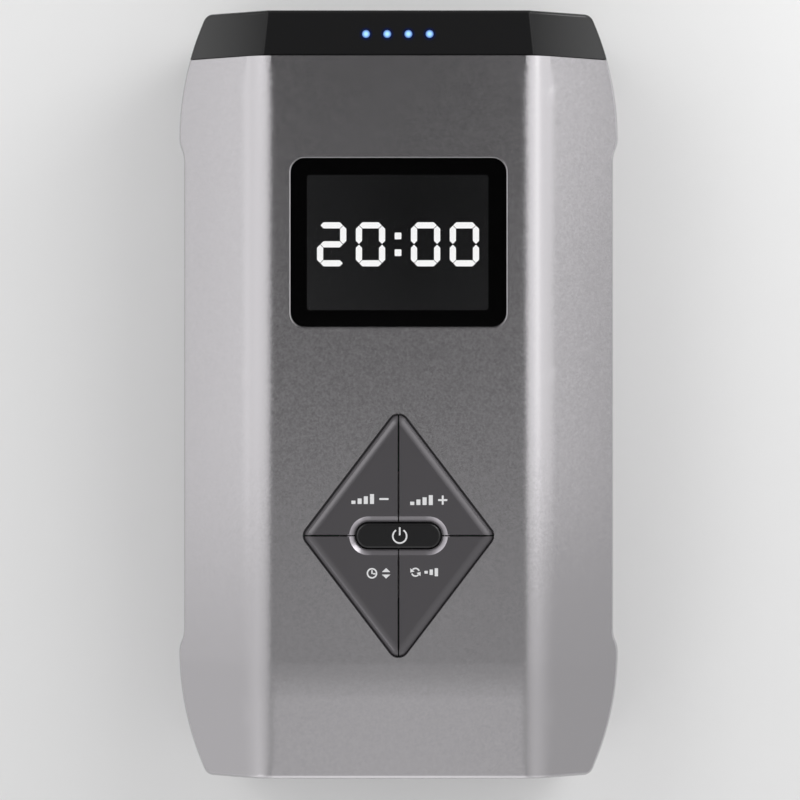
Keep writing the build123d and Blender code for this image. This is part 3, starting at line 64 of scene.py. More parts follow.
MERGE_DISTANCE = 1e-6

Colour = tuple[float, float, float]
Point2 = tuple[float, float]
Point3 = tuple[float, float, float]
Span = tuple[float, float]
Rise = tuple[float, float, float, float]
Bar = tuple[float, float, float, float]
Stops = tuple[tuple[float, float], ...]
Socket = bpy.types.NodeSocket
Feed = Union[float, Sequence[float], Socket]
Feeds = Mapping[str, Feed]
Node = bpy.types.Node
Piece = bpy.types.Object
Mesh = bmesh.types.BMesh
Corner = bmesh.types.BMVert


class Body(str, Enum):
    """Rigid bodies of the frame that added pieces ride on."""

    CASE = "case"
    PRESSURE_DOWN = "key_pressure_down"
    PRESSURE_UP = "key_pressure_up"
    TIME = "key_time"
    MODE = "key_mode"
    POWER = "power_button"


class Slot(str, Enum):
    """Names of the record's material slots; this script gives no piece a slot."""

    PAINT = "silver_paint"
    LENS = "lens_black"
    GLASS = "lcd_glass"
    INK = "guide_plastic"
    STEEL = "screw_steel"
    CONTACT = "plunger_steel"


# ---- shader wiring
class Wiring:
    """Adds and joins the nodes of one material or world."""

    def __init__(self, tree: bpy.types.NodeTree) -> None:
        """Starts from an empty tree."""
        self.tree = tree
        tree.nodes.clear()

    def feed(self, socket: Socket, value: Feed) -> None:
        """Links a socket to another, or sets it to a plain value.

        Args:
            socket: The input.
            value: Another socket or a value, where a colour is three numbers.
        """
        if isinstance(value, bpy.types.NodeSocket):
            self.tree.links.new(value, socket)
        elif socket.type == "RGBA":
            socket.default_value = (*value, 1.0)
        else:
            socket.default_value = value

    def add(self, kind: str, inputs: Optional[Feeds] = None, **settings: object) -> Node:
        """Adds one node.

        Args:
            kind: Blender's name of the node's type.
            inputs: What its sockets are fed, by name.
            settings: Properties to set on it.

        Returns:
            The new node.
        """
        node = self.tree.nodes.new(kind)
        for name, value in settings.items():
            setattr(node, name, value)
        for name, value in (inputs or {}).items():
            self.feed(node.inputs[name], value)
        return node

    def place(self) -> Socket:
        """Position on the object, in metres."""
        return self.add("ShaderNodeTexCoord").outputs["Object"]

    def maths(self, operation: str, *values: Feed, kind: str = "ShaderNodeMath") -> Socket:
        """Runs one arithmetic step.

        Args:
            operation: Blender's name of the operation.
            values: Its inputs, in order.
            kind: Blender's name of the node, for numbers or for vectors.

        Returns:
            The result.
        """
        node = self.add(kind, operation=operation)
        for socket, value in zip(node.inputs, values):
            self.feed(socket, value)
        return node.outputs[0]

    def chain(self, operation: str, *values: Feed) -> Socket:
        """Runs a step of two inputs over several values, from the first to the last."""
        return reduce(lambda total, value: self.maths(operation, total, value), values)

    def length(self, across: Socket, up: Socket) -> Socket:
        """Length of a flat vector, from its two parts."""
        squares = [self.maths("POWER", side, 2.0) for side in (across, up)]
        return self.maths("SQRT", self.maths("ADD", *squares))

    def parts(self, vector: Socket) -> tuple[Socket, Socket, Socket]:
        """Splits a vector into X, Y and Z."""
        node = self.add("ShaderNodeSeparateXYZ", {"Vector": vector})
        return node.outputs[0], node.outputs[1], node.outputs[2]

    def stretch(self, vector: Socket, scale: Point3) -> Socket:
        """Scales a vector along each axis."""
        return self.add("ShaderNodeMapping", {"Vector": vector, "Scale": scale}).outputs[0]

    def noise(self, vector: Socket, scale: float, detail: float = 2.0, rough: float = 0.5) -> Socket:
        """Soft fractal noise.

        Args:
            vector: Where it is read.
            scale: Features in a metre.
            detail: Octaves.
            rough: Weight of the finer octaves.

        Returns:
            Its value, from 0 to 1.
        """
        inputs = {"Vector": vector, "Scale": scale, "Detail": detail, "Roughness": rough}
        return self.add("ShaderNodeTexNoise", inputs).outputs["Fac"]

    def cells(self, vector: Socket, scale: float) -> Node:
        """Random cells, which give a colour for each and the distance from its middle."""
        return self.add("ShaderNodeTexVoronoi", {"Vector": vector, "Scale": scale})

    def spread(self, value: Socket, low: float, high: float, start: float = 0.0, end: float = 1.0) -> Socket:
        """Maps a range to another and clamps it.

        Args:
            value: What is mapped.
            low: Result at start.
            high: Result at end.
            start: Where the range begins.
            end: Where it ends.

        Returns:
            The mapped value.
        """
        limits = {"From Min": start, "From Max": end, "To Min": low, "To Max": high}
        return self.add("ShaderNodeMapRange", {"Value": value, **limits}).outputs[0]

    def blend(self, share: Feed, first: Feed, second: Feed, how: str = "MIX") -> Socket:
        """Mixes two colours.

        Args:
            share: 0 for the first, 1 for the second.
            first: A colour or a socket.
            second: A colour or a socket.
            how: Blender's name of the way.

        Returns:
            The mixed colour.
        """
        node = self.add("ShaderNodeMix", {"Factor": share}, data_type="RGBA", blend_type=how)
        for socket, value in zip([s for s in node.inputs if s.type == "RGBA"], (first, second)):
            self.feed(socket, value)
        return next(s for s in node.outputs if s.type == "RGBA")

    def tint(self, share: Socket, colour: Colour, low: float, high: float) -> Socket:
        """A colour at a strength that goes from low to high with a share."""
        return self.blend(share, shade(colour, low), shade(colour, high))

    def ramp(self, value: Socket, stops: Sequence[tuple[float, Colour]]) -> Socket:
        """Colours a value.

        Args:
            value: What is coloured, from 0 to 1.
            stops: Places from 0 to 1, and the colour at each.

        Returns:
            The colour.
        """
        node = self.add("ShaderNodeValToRGB")
        elements = node.color_ramp.elements
        while len(elements) < len(stops):
            elements.new(0.5)
        for element, (position, colour) in zip(elements, stops):
            element.position = position
            element.color = (*colour, 1.0)
        self.feed(node.inputs[0], value)
        return node.outputs[0]

    def bump(self, height: Socket, depth: float, under: Optional[Socket] = None) -> Socket:
        """Tilts the normal by a height field.

        Args:
            height: The field, from 0 to 1.
            depth: Its depth in metres.
            under: A normal that it is laid on.

        Returns:
            The tilted normal.
        """
        inputs: dict[str, Feed] = {"Strength": 1.0, "Distance": depth, "Height": height}
        if under is not None:
            inputs["Normal"] = under
        return self.add("ShaderNodeBump", inputs).outputs[0]

    def flakes(self, vector: Socket, scale: float, lean: float, under: Socket) -> Socket:
        """Leans the normal a little another way in each small cell, as metal flakes lie in paint.

        Args:
            vector: Where the cells are read.
            scale: Cells in a metre.
            lean: Largest lean, as a slope.
            under: The normal that they are laid on.

        Returns:
            The leaning normal.
        """
        kind = "ShaderNodeVectorMath"
        cell = self.cells(vector, scale).outputs["Color"]
        lean_by = self.maths("MULTIPLY_ADD", cell, (2 * lean,) * 3, (-lean,) * 3, kind=kind)
        return self.maths("NORMALIZE", self.maths("ADD", lean_by, under, kind=kind), kind=kind)

    def surface(self, **inputs: Feed) -> None:
        """Ends the tree in a Principled shader with these inputs, spaces in names written as _."""
        named = {name.replace("_", " "): value for name, value in inputs.items()}
        shader = self.add("ShaderNodeBsdfPrincipled", named)
        self.add("ShaderNodeOutputMaterial", {"Surface": shader.outputs[0]})


def shade(colour: Colour, share: float) -> Colour:
    """A colour made darker or lighter."""
    return (colour[0] * share, colour[1] * share, colour[2] * share)


# ---- finishes
@dataclass(frozen=True)
class Finish:
    """A surface that pieces are made of or coated in."""

    name: str

    def wire(self, wiring: Wiring) -> None:
        """Lays the shader nodes."""
        raise NotImplementedError

    def material(self) -> bpy.types.Material:
        """Makes the material, or gives the one made before.

        Returns:
            The material of this name.
        """
        found = bpy.data.materials.get(self.name)
        if found is None:
            found = bpy.data.materials.new(self.name)
            found.use_nodes = True
            self.wire(Wiring(found.node_tree))
        return found


@dataclass(frozen=True)
class SilverPaint(Finish):
    """Satin metallic paint: fine flakes under a slightly uneven coat that rounds the bends it covers."""

    base: Colour = (0.522, 0.508, 0.525)
    cloud: float = 26.0
    drift: Span = (0.99, 1.01)
    roughness: Span = (0.197, 0.217)
    flakes: float = 2200.0
    flake_lean: float = 0.012
    peel: float = 520.0
    peel_depth: float = 0.000006
    rays: int = 8
    bend_round: float = 0.0054
    bend_end: float = 0.0490
    bend_foot: float = 0.0560
    seat_edge: float = 0.03125
    top_edge: float = 0.0950
    foot_edge: float = -0.1082
    kick_round: float = 0.0022
    kick_edge: float = -0.0744

    def rounded(self, wiring: Wiring, place: Socket) -> Socket:
        """Rounds the bends beside the face and at the kick, and leaves the edges round them sharp.

        Args:
            wiring: Where the nodes go.
            place: Position on the object.

        Returns:
            The rounded normal.
        """
        x, y, z = wiring.parts(place)
        wide = wiring.maths("ABSOLUTE", x)
        reach = self.bend_round
        inner = wiring.spread(wide, 0.0, reach, self.seat_edge, self.seat_edge + reach)
        kick = wiring.spread(y, self.kick_round, 0.0, self.kick_edge - self.kick_round, self.kick_edge)
        radius = wiring.chain(
            "MINIMUM",
            wiring.maths("MAXIMUM", inner, kick),
            wiring.spread(wide, reach, 0.0, self.bend_end - reach, self.bend_end),
            wiring.spread(y, reach, 0.0, self.top_edge - reach, self.top_edge),
            wiring.spread(y, 0.0, reach, self.foot_edge, self.foot_edge + reach),
            wiring.spread(z, 0.0, reach, self.bend_foot, self.bend_foot + reach),
        )
        return wiring.add("ShaderNodeBevel", {"Radius": radius}, samples=self.rays).outputs[0]

    def wire(self, wiring: Wiring) -> None:
        """Lays the shader nodes.

        Args:
            wiring: Where the nodes go.
        """
        place = wiring.place()
        peel = wiring.noise(place, self.peel, detail=1.0)
        coat = wiring.bump(peel, self.peel_depth, self.rounded(wiring, place))
        wiring.surface(
            Base_Color=wiring.tint(wiring.noise(place, self.cloud), self.base, *self.drift),
            Metallic=1.0,
            Roughness=wiring.spread(peel, *self.roughness),
            Normal=wiring.flakes(place, self.flakes, self.flake_lean, coat),
        )


@dataclass(frozen=True)
class LampRow:
    """Where the charge lamps stand in the end cap."""

    x: float = -0.0002
    y: float = 0.1022
    spacing: float = 0.006
    count: int = 4
    radius: float = 0.0011

    def reach(self, wiring: Wiring, x: Socket, y: Socket) -> Socket:
        """Distance from the middle of the nearest lamp.

        Args:
            wiring: Where the nodes go.
            x: Position along the row.
            y: Position across the row.

        Returns:
            The distance in metres.
        """
        offset = wiring.maths("SUBTRACT", x, self.x)
        column = wiring.maths("WRAP", offset, self.spacing / 2, -self.spacing / 2)
        column = wiring.maths("SUBTRACT", wiring.maths("ABSOLUTE", column), self.spacing / 2)
        return wiring.length(column, wiring.maths("SUBTRACT", y, self.y))


@dataclass(frozen=True)
class PolishedBlack(Finish):
    """Moulded black with faint polishing waves, a painted highlight whose strength rises towards its sides,
    and a blue glow round each lamp.
    """

    base: Colour = (0.0118, 0.0118, 0.0122)
    base_lit: float = 0.1
    roughness: Span = (0.11, 0.16)
    wave: float = 55.0
    wave_depth: float = 0.00002
    scuff: float = 2400.0
    drawn: Point3 = (1.0, 0.25, 1.0)
    # Painted highlight: reflection strength at the middle and at the sides, and where it rises
    painted_highlight: Span = (0.22, 0.64)
    painted_highlight_span: Span = (0.0385, 0.0570)
    glow: Colour = (0.0010, 0.0065, 0.0560)
    glow_reach: float = 0.0021
    glow_fall: float = 1.3
    lamps: LampRow = LampRow()
    front: float = 0.0600

    def wire(self, wiring: Wiring) -> None:
        """Lays the shader nodes.

        Args:
            wiring: Where the nodes go.
        """
        place = wiring.place()
        scuff = wiring.noise(wiring.stretch(place, self.drawn), self.scuff, detail=3.0)
        x, y, z = wiring.parts(place)
        lamps = self.lamps
        near = wiring.spread(lamps.reach(wiring, x, y), 1.0, 0.0, lamps.radius, self.glow_reach)
        offset = wiring.maths("ABSOLUTE", wiring.maths("SUBTRACT", x, lamps.x))
        lit = wiring.chain(
            "MULTIPLY",
            wiring.maths("POWER", near, self.glow_fall),
            wiring.maths("LESS_THAN", offset, lamps.spacing * lamps.count / 2),
            wiring.maths("GREATER_THAN", z, self.front),
        )
        wiring.surface(
            Base_Color=wiring.tint(lit, self.base, 1.0, self.base_lit),
            Roughness=wiring.spread(scuff, *self.roughness),
            IOR=1.5,
            # Painted highlight: the reflection strength is set by the distance from the middle, not by the
            # lamps
            Specular_IOR_Level=wiring.spread(wiring.maths("ABSOLUTE", x), *self.painted_highlight, *self.painted_highlight_span),
            Normal=wiring.bump(wiring.noise(place, self.wave, detail=1.0), self.wave_depth),
            Emission_Color=wiring.tint(lit, self.glow, 0.0, 1.0),
            Emission_Strength=1.0,
        )


@dataclass(frozen=True)
class Grained(Finish):
    """A plain finish with a fine grain in its relief and gloss, and a faint cloud in its colour."""

    base: Colour
    roughness: float = 0.5
    grain: float = 1400.0
    depth: float = 0.000012
    drawn: Point3 = (1.0, 1.0, 1.0)
    uneven: Span = (0.06, 0.06)
    cloud: Span = (60.0, 2.0)
    drift: Span = (0.95, 1.05)
    metal: float = 0.0
    sheen: float = 0.5

    def colour(self, wiring: Wiring, place: Socket) -> Socket:
        """The colour of the finish, slightly clouded."""
        return wiring.tint(wiring.noise(place, *self.cloud), self.base, *self.drift)

    def wire(self, wiring: Wiring) -> None:
        """Lays the shader nodes.

        Args:
            wiring: Where the nodes go.
        """
        place = wiring.place()
        grain = wiring.noise(wiring.stretch(place, self.drawn), self.grain, detail=3.0, rough=0.6)
        smoother, rougher = self.uneven
        wiring.surface(
            Base_Color=self.colour(wiring, place),
            Metallic=self.metal,
            Roughness=wiring.spread(grain, self.roughness - smoother, self.roughness + rougher),
            Specular_IOR_Level=self.sheen,
            Normal=wiring.bump(grain, self.depth),
        )


@dataclass(frozen=True)
class Moulded(Grained):
    """Moulded plastic or rubber with a fine spark-eroded grain."""


@dataclass(frozen=True)
class Metal(Grained):
    """Bare or plated metal, with marks drawn out along one axis."""

    roughness: float = 0.3
    grain: float = 2600.0
    depth: float = 0.000004
    drawn: Point3 = (1.0, 1.0, 0.1)
    uneven: Span = (0.05, 0.08)
    cloud: Span = (240.0, 3.0)
    drift: Span = (0.9, 1.05)
    metal: float = 1.0


@dataclass(frozen=True)
class MetallicLacquer(Grained):
    """Dark satin lacquer with a little metal in it, on the keys and the power button."""

    grain: float = 1700.0
    depth: float = 0.000003
    uneven: Span = (0.03, 0.04)
    cloud: Span = (90.0, 2.0)
    drift: Span = (0.96, 1.04)
    metal: float = 0.5
    sheen: float = 0.8


@dataclass(frozen=True)
class KeyLacquer(MetallicLacquer):
    """Key lacquer with a painted highlight on the wall of the moat, brightest at the ends of the button and
    at the moat's outer edge.
    """

    key_top: float = 0.07088
    button_y: float = -0.0398
    button_flat: float = 0.00845
    moat_edge: float = 0.0060
    # Painted highlight: how much brighter the moat's wall is in its straight runs and at its ends, and where
    # the ends begin
    painted_highlight: Span = (1.6, 5.0)
    painted_highlight_span: Span = (0.0075, 0.0110)
    # Painted highlight: its share at the inner and at the outer edge of the moat's wall, and where these lie
    rim: Span = (0.15, 1.0)
    rim_span: Span = (0.0041, 0.0053)

    def colour(self, wiring: Wiring, place: Socket) -> Socket:
        """The lacquer's colour, with a painted highlight on the wall of the moat.

        Args:
            wiring: Where the nodes go.
            place: Position on the object.

        Returns:
            The colour.
        """
        x, y, z = wiring.parts(place)
        wide = wiring.maths("ABSOLUTE", x)
        past = wiring.maths("MAXIMUM", wiring.maths("SUBTRACT", wide, self.button_flat), 0.0)
        reach = wiring.length(past, wiring.maths("SUBTRACT", y, self.button_y))
        near = wiring.maths("LESS_THAN", reach, self.moat_edge)
        wall = wiring.maths("MULTIPLY", near, wiring.maths("LESS_THAN", z, self.key_top))
        # Share of the painted highlight, more at the ends of the button and towards the moat's outer edge
        end = wiring.spread(wide, 0.0, 1.0, *self.painted_highlight_span)
        end = wiring.maths("MULTIPLY", end, wiring.spread(reach, *self.rim, *self.rim_span))
        return wiring.blend(wall, super().colour(wiring, place), wiring.tint(end, self.base, *self.painted_highlight))


@dataclass(frozen=True)
class Clear(Finish):
    """Clear moulding with a faint ripple: the lens and the hoses."""

    base: Colour = (1.0, 1.0, 1.0)
    roughness: float = 0.02
    ior: float = 1.49
    uneven: float = 0.01
    ripple: float = 90.0
    depth: float = 0.000002

    def wire(self, wiring: Wiring) -> None:
        """Lays the shader nodes.

        Args:
            wiring: Where the nodes go.
        """
        ripple = wiring.noise(wiring.place(), self.ripple, detail=1.0)
        wiring.surface(
            Base_Color=self.base,
            Roughness=wiring.spread(ripple, self.roughness, self.roughness + self.uneven),
            IOR=self.ior,
            Transmission_Weight=1.0,
            Normal=wiring.bump(ripple, self.depth),
        )


@dataclass(frozen=True)
class Ink(Finish):
    """Printed ink, a little uneven at the scale of the screen that laid it."""

    base: Colour
    roughness: float = 0.55
    gloss: float = 0.5
    uneven: float = 0.05
    drift: Span = (0.96, 1.04)
    screen: float = 5200.0

    def wire(self, wiring: Wiring) -> None:
        """Lays the shader nodes.

        Args:
            wiring: Where the nodes go.
        """
        mesh = wiring.noise(wiring.place(), self.screen)
        wiring.surface(
            Base_Color=wiring.tint(mesh, self.base, *self.drift),
            Roughness=wiring.spread(mesh, self.roughness - self.uneven, self.roughness + self.uneven),
            Specular_IOR_Level=self.gloss,
        )


@dataclass(frozen=True)
class Backlight(Finish):
    """Dark display field that lets a little of its backlight through, more at its left and foot.

    Left, right and foot each give the light at two places, then those places, from -1 to 1.
    """

    middle: Point2 = (-0.0002, 0.0432)
    half: Point2 = (0.0257, 0.0192)
    left: Rise = (0.55, 0.0, -1.0, 0.1)
    right: Rise = (0.0, 0.2, 0.2, 1.0)
    foot: Rise = (0.45, 0.0, -1.0, 0.5)
    cloud: float = 70.0
    clouding: Span = (-0.06, 0.06)
    level: Span = (0.0052, 0.0150)
    base: Colour = (0.004, 0.004, 0.0045)
    glow: Colour = (0.96, 0.97, 1.0)

    def wire(self, wiring: Wiring) -> None:
        """Lays the shader nodes.

        Args:
            wiring: Where the nodes go.
        """
        place = wiring.place()
        across, up = (
            wiring.maths("DIVIDE", wiring.maths("SUBTRACT", axis, middle), half)
            for axis, middle, half in zip(wiring.parts(place), self.middle, self.half)
        )
        share = wiring.chain(
            "ADD",
            wiring.spread(across, *self.left),
            wiring.spread(across, *self.right),
            wiring.spread(up, *self.foot),
            wiring.spread(wiring.noise(place, self.cloud, detail=1.0), *self.clouding),
        )
        wiring.surface(
            Base_Color=self.base,
            Roughness=0.5,
            Specular_IOR_Level=0.0,
            Emission_Color=self.glow,
            Emission_Strength=wiring.spread(share, *self.level),
        )


@dataclass(frozen=True)
class LitSegment(Finish):
    """Display segment at full light, a very little uneven."""

    base: Colour = (0.02, 0.02, 0.02)
    glow: Colour = (1.0, 1.0, 1.0)
    drift: Span = (0.96, 1.0)
    flicker: float = 900.0

    def wire(self, wiring: Wiring) -> None:
        """Lays the shader nodes.

        Args:
            wiring: Where the nodes go.
        """
        flicker = wiring.noise(wiring.place(), self.flicker, detail=1.0)
        wiring.surface(
            Base_Color=self.base,
            Roughness=0.5,
            Specular_IOR_Level=0.0,
            Emission_Color=wiring.tint(flicker, self.glow, *self.drift),
            Emission_Strength=1.0,
        )


@dataclass(frozen=True)
class LampGlow(Finish):
    """Light pipe that is pale blue at its core and deep blue at its rim."""

    base: Colour = (0.10, 0.18, 0.30)
    stops: tuple[tuple[float, Colour], ...] = (
        (0.0, (0.44, 0.77, 1.0)),
        (0.42, (0.33, 0.66, 0.97)),
        (0.66, (0.20, 0.36, 0.76)),
        (0.90, (0.030, 0.075, 0.24)),
    )
    lamps: LampRow = LampRow()

    def wire(self, wiring: Wiring) -> None:
        """Lays the shader nodes.

        Args:
            wiring: Where the nodes go.
        """
        x, y, _ = wiring.parts(wiring.place())
        share = wiring.maths("DIVIDE", self.lamps.reach(wiring, x, y), self.lamps.radius)
        wiring.surface(
            Base_Color=self.base,
            Roughness=0.25,
            Emission_Color=wiring.ramp(share, self.stops),
            Emission_Strength=1.0,
        )


@dataclass(frozen=True)
class Laminate(Finish):
    """Solder-masked board with faint tracks and pads."""

    mask: Colour = (0.010, 0.120, 0.040)
    track: Colour = (0.020, 0.190, 0.070)
    tracks: float = 420.0
    drawn: Point3 = (1.0, 0.35, 1.0)
    track_share: float = 0.55
    depth: float = 0.00002
    smear: float = 800.0
    roughness: Span = (0.28, 0.42)

    def wire(self, wiring: Wiring) -> None:
        """Lays the shader nodes.

        Args:
            wiring: Where the nodes go.
        """
        place = wiring.place()
        cells = wiring.cells(wiring.stretch(place, self.drawn), self.tracks)
        red = wiring.add("ShaderNodeSeparateColor", {"Color": cells.outputs["Color"]}).outputs[0]
        track = wiring.maths("GREATER_THAN", red, self.track_share)
        wiring.surface(
            Base_Color=wiring.blend(track, self.mask, self.track),
            Roughness=wiring.spread(wiring.noise(place, self.smear), *self.roughness),
            Normal=wiring.bump(track, self.depth),
        )


@dataclass(frozen=True)
class OpenFoam(Finish):
    """Open-cell filter foam, its colour darker in the middle of each pore as painted shade."""

    base: Colour = (0.05, 0.05, 0.05)
    # Painted shade: the colour's share in the middle of each pore and at its edge
    drift: Span = (0.35, 1.6)
    pores: float = 1300.0
    depth: float = 0.0004

    def wire(self, wiring: Wiring) -> None:
        """Lays the shader nodes.

        Args:
            wiring: Where the nodes go.
        """
        distance = wiring.cells(wiring.place(), self.pores).outputs["Distance"]
        wiring.surface(
            Base_Color=wiring.tint(distance, self.base, *self.drift),
            Roughness=0.95,
            Normal=wiring.bump(distance, self.depth),
        )


@dataclass(frozen=True)
class Wound(Finish):
    """Enamelled winding wire laid between steel laminations."""

    copper: Colour = (0.70, 0.28, 0.11)
    steel: Colour = (0.42, 0.42, 0.43)
    turns: float = 2200.0
    patches: float = 160.0
    patch_share: float = 0.5
    roughness: Span = (0.25, 0.45)
    depth: float = 0.00004

    def wire(self, wiring: Wiring) -> None:
        """Lays the shader nodes.

        Args:
            wiring: Where the nodes go.
        """
        place = wiring.place()
        _, y, _ = wiring.parts(place)
        lines = wiring.maths("SINE", wiring.maths("MULTIPLY", y, 2 * math.pi * self.turns))
        patch = wiring.noise(place, self.patches, detail=1.0)
        patch = wiring.maths("GREATER_THAN", patch, self.patch_share)
        wiring.surface(
            Base_Color=wiring.blend(patch, self.copper, self.steel),
            Metallic=1.0,
            Roughness=wiring.spread(lines, *self.roughness, -1.0, 1.0),
            Normal=wiring.bump(wiring.spread(lines, 0.0, 1.0, -1.0, 1.0), self.depth),
        )


@dataclass(frozen=True)
class CellWrap(Finish):
    """Shrink film on battery cells, plain, with a bare steel end."""

    film: Colour = (0.03, 0.16, 0.42)
    steel: Colour = (0.60, 0.60, 0.61)
    film_end: float = -0.0312
    wrinkle: float = 700.0
    drawn: Point3 = (1.0, 0.1, 1.0)
    roughness: Span = (0.22, 0.34)
    depth: float = 0.00002

    def wire(self, wiring: Wiring) -> None:
        """Lays the shader nodes.

        Args:
            wiring: Where the nodes go.
        """
        place = wiring.place()
        _, y, _ = wiring.parts(place)
        bare = wiring.maths("GREATER_THAN", y, self.film_end)
        wrinkle = wiring.noise(wiring.stretch(place, self.drawn), self.wrinkle)
        wiring.surface(
            Base_Color=wiring.blend(bare, self.film, self.steel),
            Metallic=bare,
            Roughness=wiring.spread(wrinkle, *self.roughness),
            Normal=wiring.bump(wrinkle, self.depth),
        )


class Finishes:
    """The finishes that this object needs, and the CAD nodes that wear them."""

    paint = SilverPaint("paint_silver")
    screw = Metal("screw_zinc", (0.58, 0.58, 0.57), 0.26)
    contact = Metal("contact_nickel", (0.66, 0.64, 0.60), 0.18)
    mask = Ink("lens_print", (0.0011, 0.0011, 0.0012), 0.6, gloss=0.0)
    white_ink = Ink("mark_ink", (0.70, 0.70, 0.71), 0.5)
    backlight = Backlight("display_field")
    segment = LitSegment("display_segment")
    paper = Moulded("studio_paper", (0.82, 0.82, 0.82), 0.9, 300.0, 0.00001, drift=(0.995, 1.005))

    # Plain numbers are the roughness, the grain's features in a metre and its depth
    worn: dict[Finish, tuple[str, ...]] = {
        paint: ("front_housing", "rear_housing"),
        PolishedBlack("cap_black"): ("end_cap",),
        Clear("lens_clear"): ("display_lens",),
        KeyLacquer("key_lacquer", (0.094, 0.0885, 0.0955), 0.24): (
            "key_pressure_down", "key_pressure_up", "key_time", "key_mode",
        ),
        MetallicLacquer("button_lacquer", (0.0056, 0.0054, 0.0060), 0.2, metal=0.0, sheen=0.52): (
            "power_button",
        ),
        LampGlow("lamp_lit"): ("light_pipes",),
        Metal("display_frame_metal", (0.52, 0.52, 0.53), 0.34): ("lcd_frame",),
        Moulded("display_panel_glass", (0.012, 0.012, 0.014), 0.12, 300.0, 0.000001): ("lcd_panel",),
        Moulded("guide_natural", (0.70, 0.70, 0.67), 0.48): ("key_frame", "battery_tray"),
        Moulded("switch_body", (0.025, 0.025, 0.026), 0.42): ("tact_switches",),
        Laminate("board_laminate"): ("control_board", "lamp_board", "power_board"),
        screw: ("board_screws", "housing_screws", "pump_screws"),
        Moulded("foot_rubber", (0.022, 0.022, 0.023), 0.72, 1100.0, 0.00003, drift=(0.88, 1.12)): (
            "rubber_feet", "pump_grommets",
        ),
        OpenFoam("filter_foam_open"): ("intake_filter",),
        Moulded("jack_nylon", (0.018, 0.018, 0.019), 0.38, 1200.0, 0.00001): ("charging_jack", "air_sockets"),
        Metal("bezel_bright", (0.78, 0.78, 0.79), 0.09, depth=0.000001, drawn=(1.0, 1.0, 1.0)): (
            "port_bezel",
        ),
        Metal("motor_can_zinc", (0.50, 0.50, 0.50), 0.36, drawn=(1.0, 0.1, 1.0)): ("motor_can",),
        Metal("bush_sintered", (0.56, 0.36, 0.17), 0.42, depth=0.00002, drawn=(1.0, 1.0, 1.0)): (
            "motor_bushes", "eccentric",
        ),
        Moulded("magnet_ferrite", (0.055, 0.055, 0.060), 0.6, 900.0, 0.00003): ("motor_magnets",),
        Wound("armature_wound"): ("armature",),
        Moulded("rod_acetal", (0.78, 0.78, 0.75), 0.34): ("connecting_rod",),
        Moulded("pump_nylon", (0.20, 0.20, 0.21), 0.52, 700.0, 0.00003, drift=(0.9, 1.1)): (
            "pump_crankcase", "valve_plate", "pump_cover",
        ),
        Moulded("membrane_sheet", (0.035, 0.035, 0.036), 0.66, 900.0, 0.00002, drift=(0.92, 1.08)): (
            "pump_diaphragm",
        ),
        Moulded("manifold_moulded", (0.68, 0.68, 0.65), 0.45): ("manifold",),
        Moulded("valve_coil", (0.028, 0.028, 0.031), 0.44, 1000.0, 0.00002): (
            "valve_bodies", "pressure_sensor",
        ),
        Metal("plunger_ground", (0.62, 0.62, 0.62), 0.2): (
            "motor_shaft",
            "valve_plunger_1", "valve_plunger_2", "valve_plunger_3", "valve_plunger_4",
        ),
        Clear("hose_soft", (0.86, 0.88, 0.88), 0.22, 1.42): ("outlet_hoses", "pump_hose"),
        CellWrap("cell_film"): ("battery_cells",),
    }  # fmt: skip


def dress_nodes(nodes: dict[str, Piece]) -> None:
    """Gives every CAD node its finish.

    Args:
        nodes: The frame's nodes by name.
    """
    bare = set(nodes)
    for finish, names in Finishes.worn.items():
        for name in names:
            for slot in nodes[name].material_slots:
                slot.material = finish.material()
            bare.discard(name)
        LOG.info("%s on %s", finish.name, ", ".join(names))
    if bare:
        LOG.warning("nodes with no finish: %s", sorted(bare))


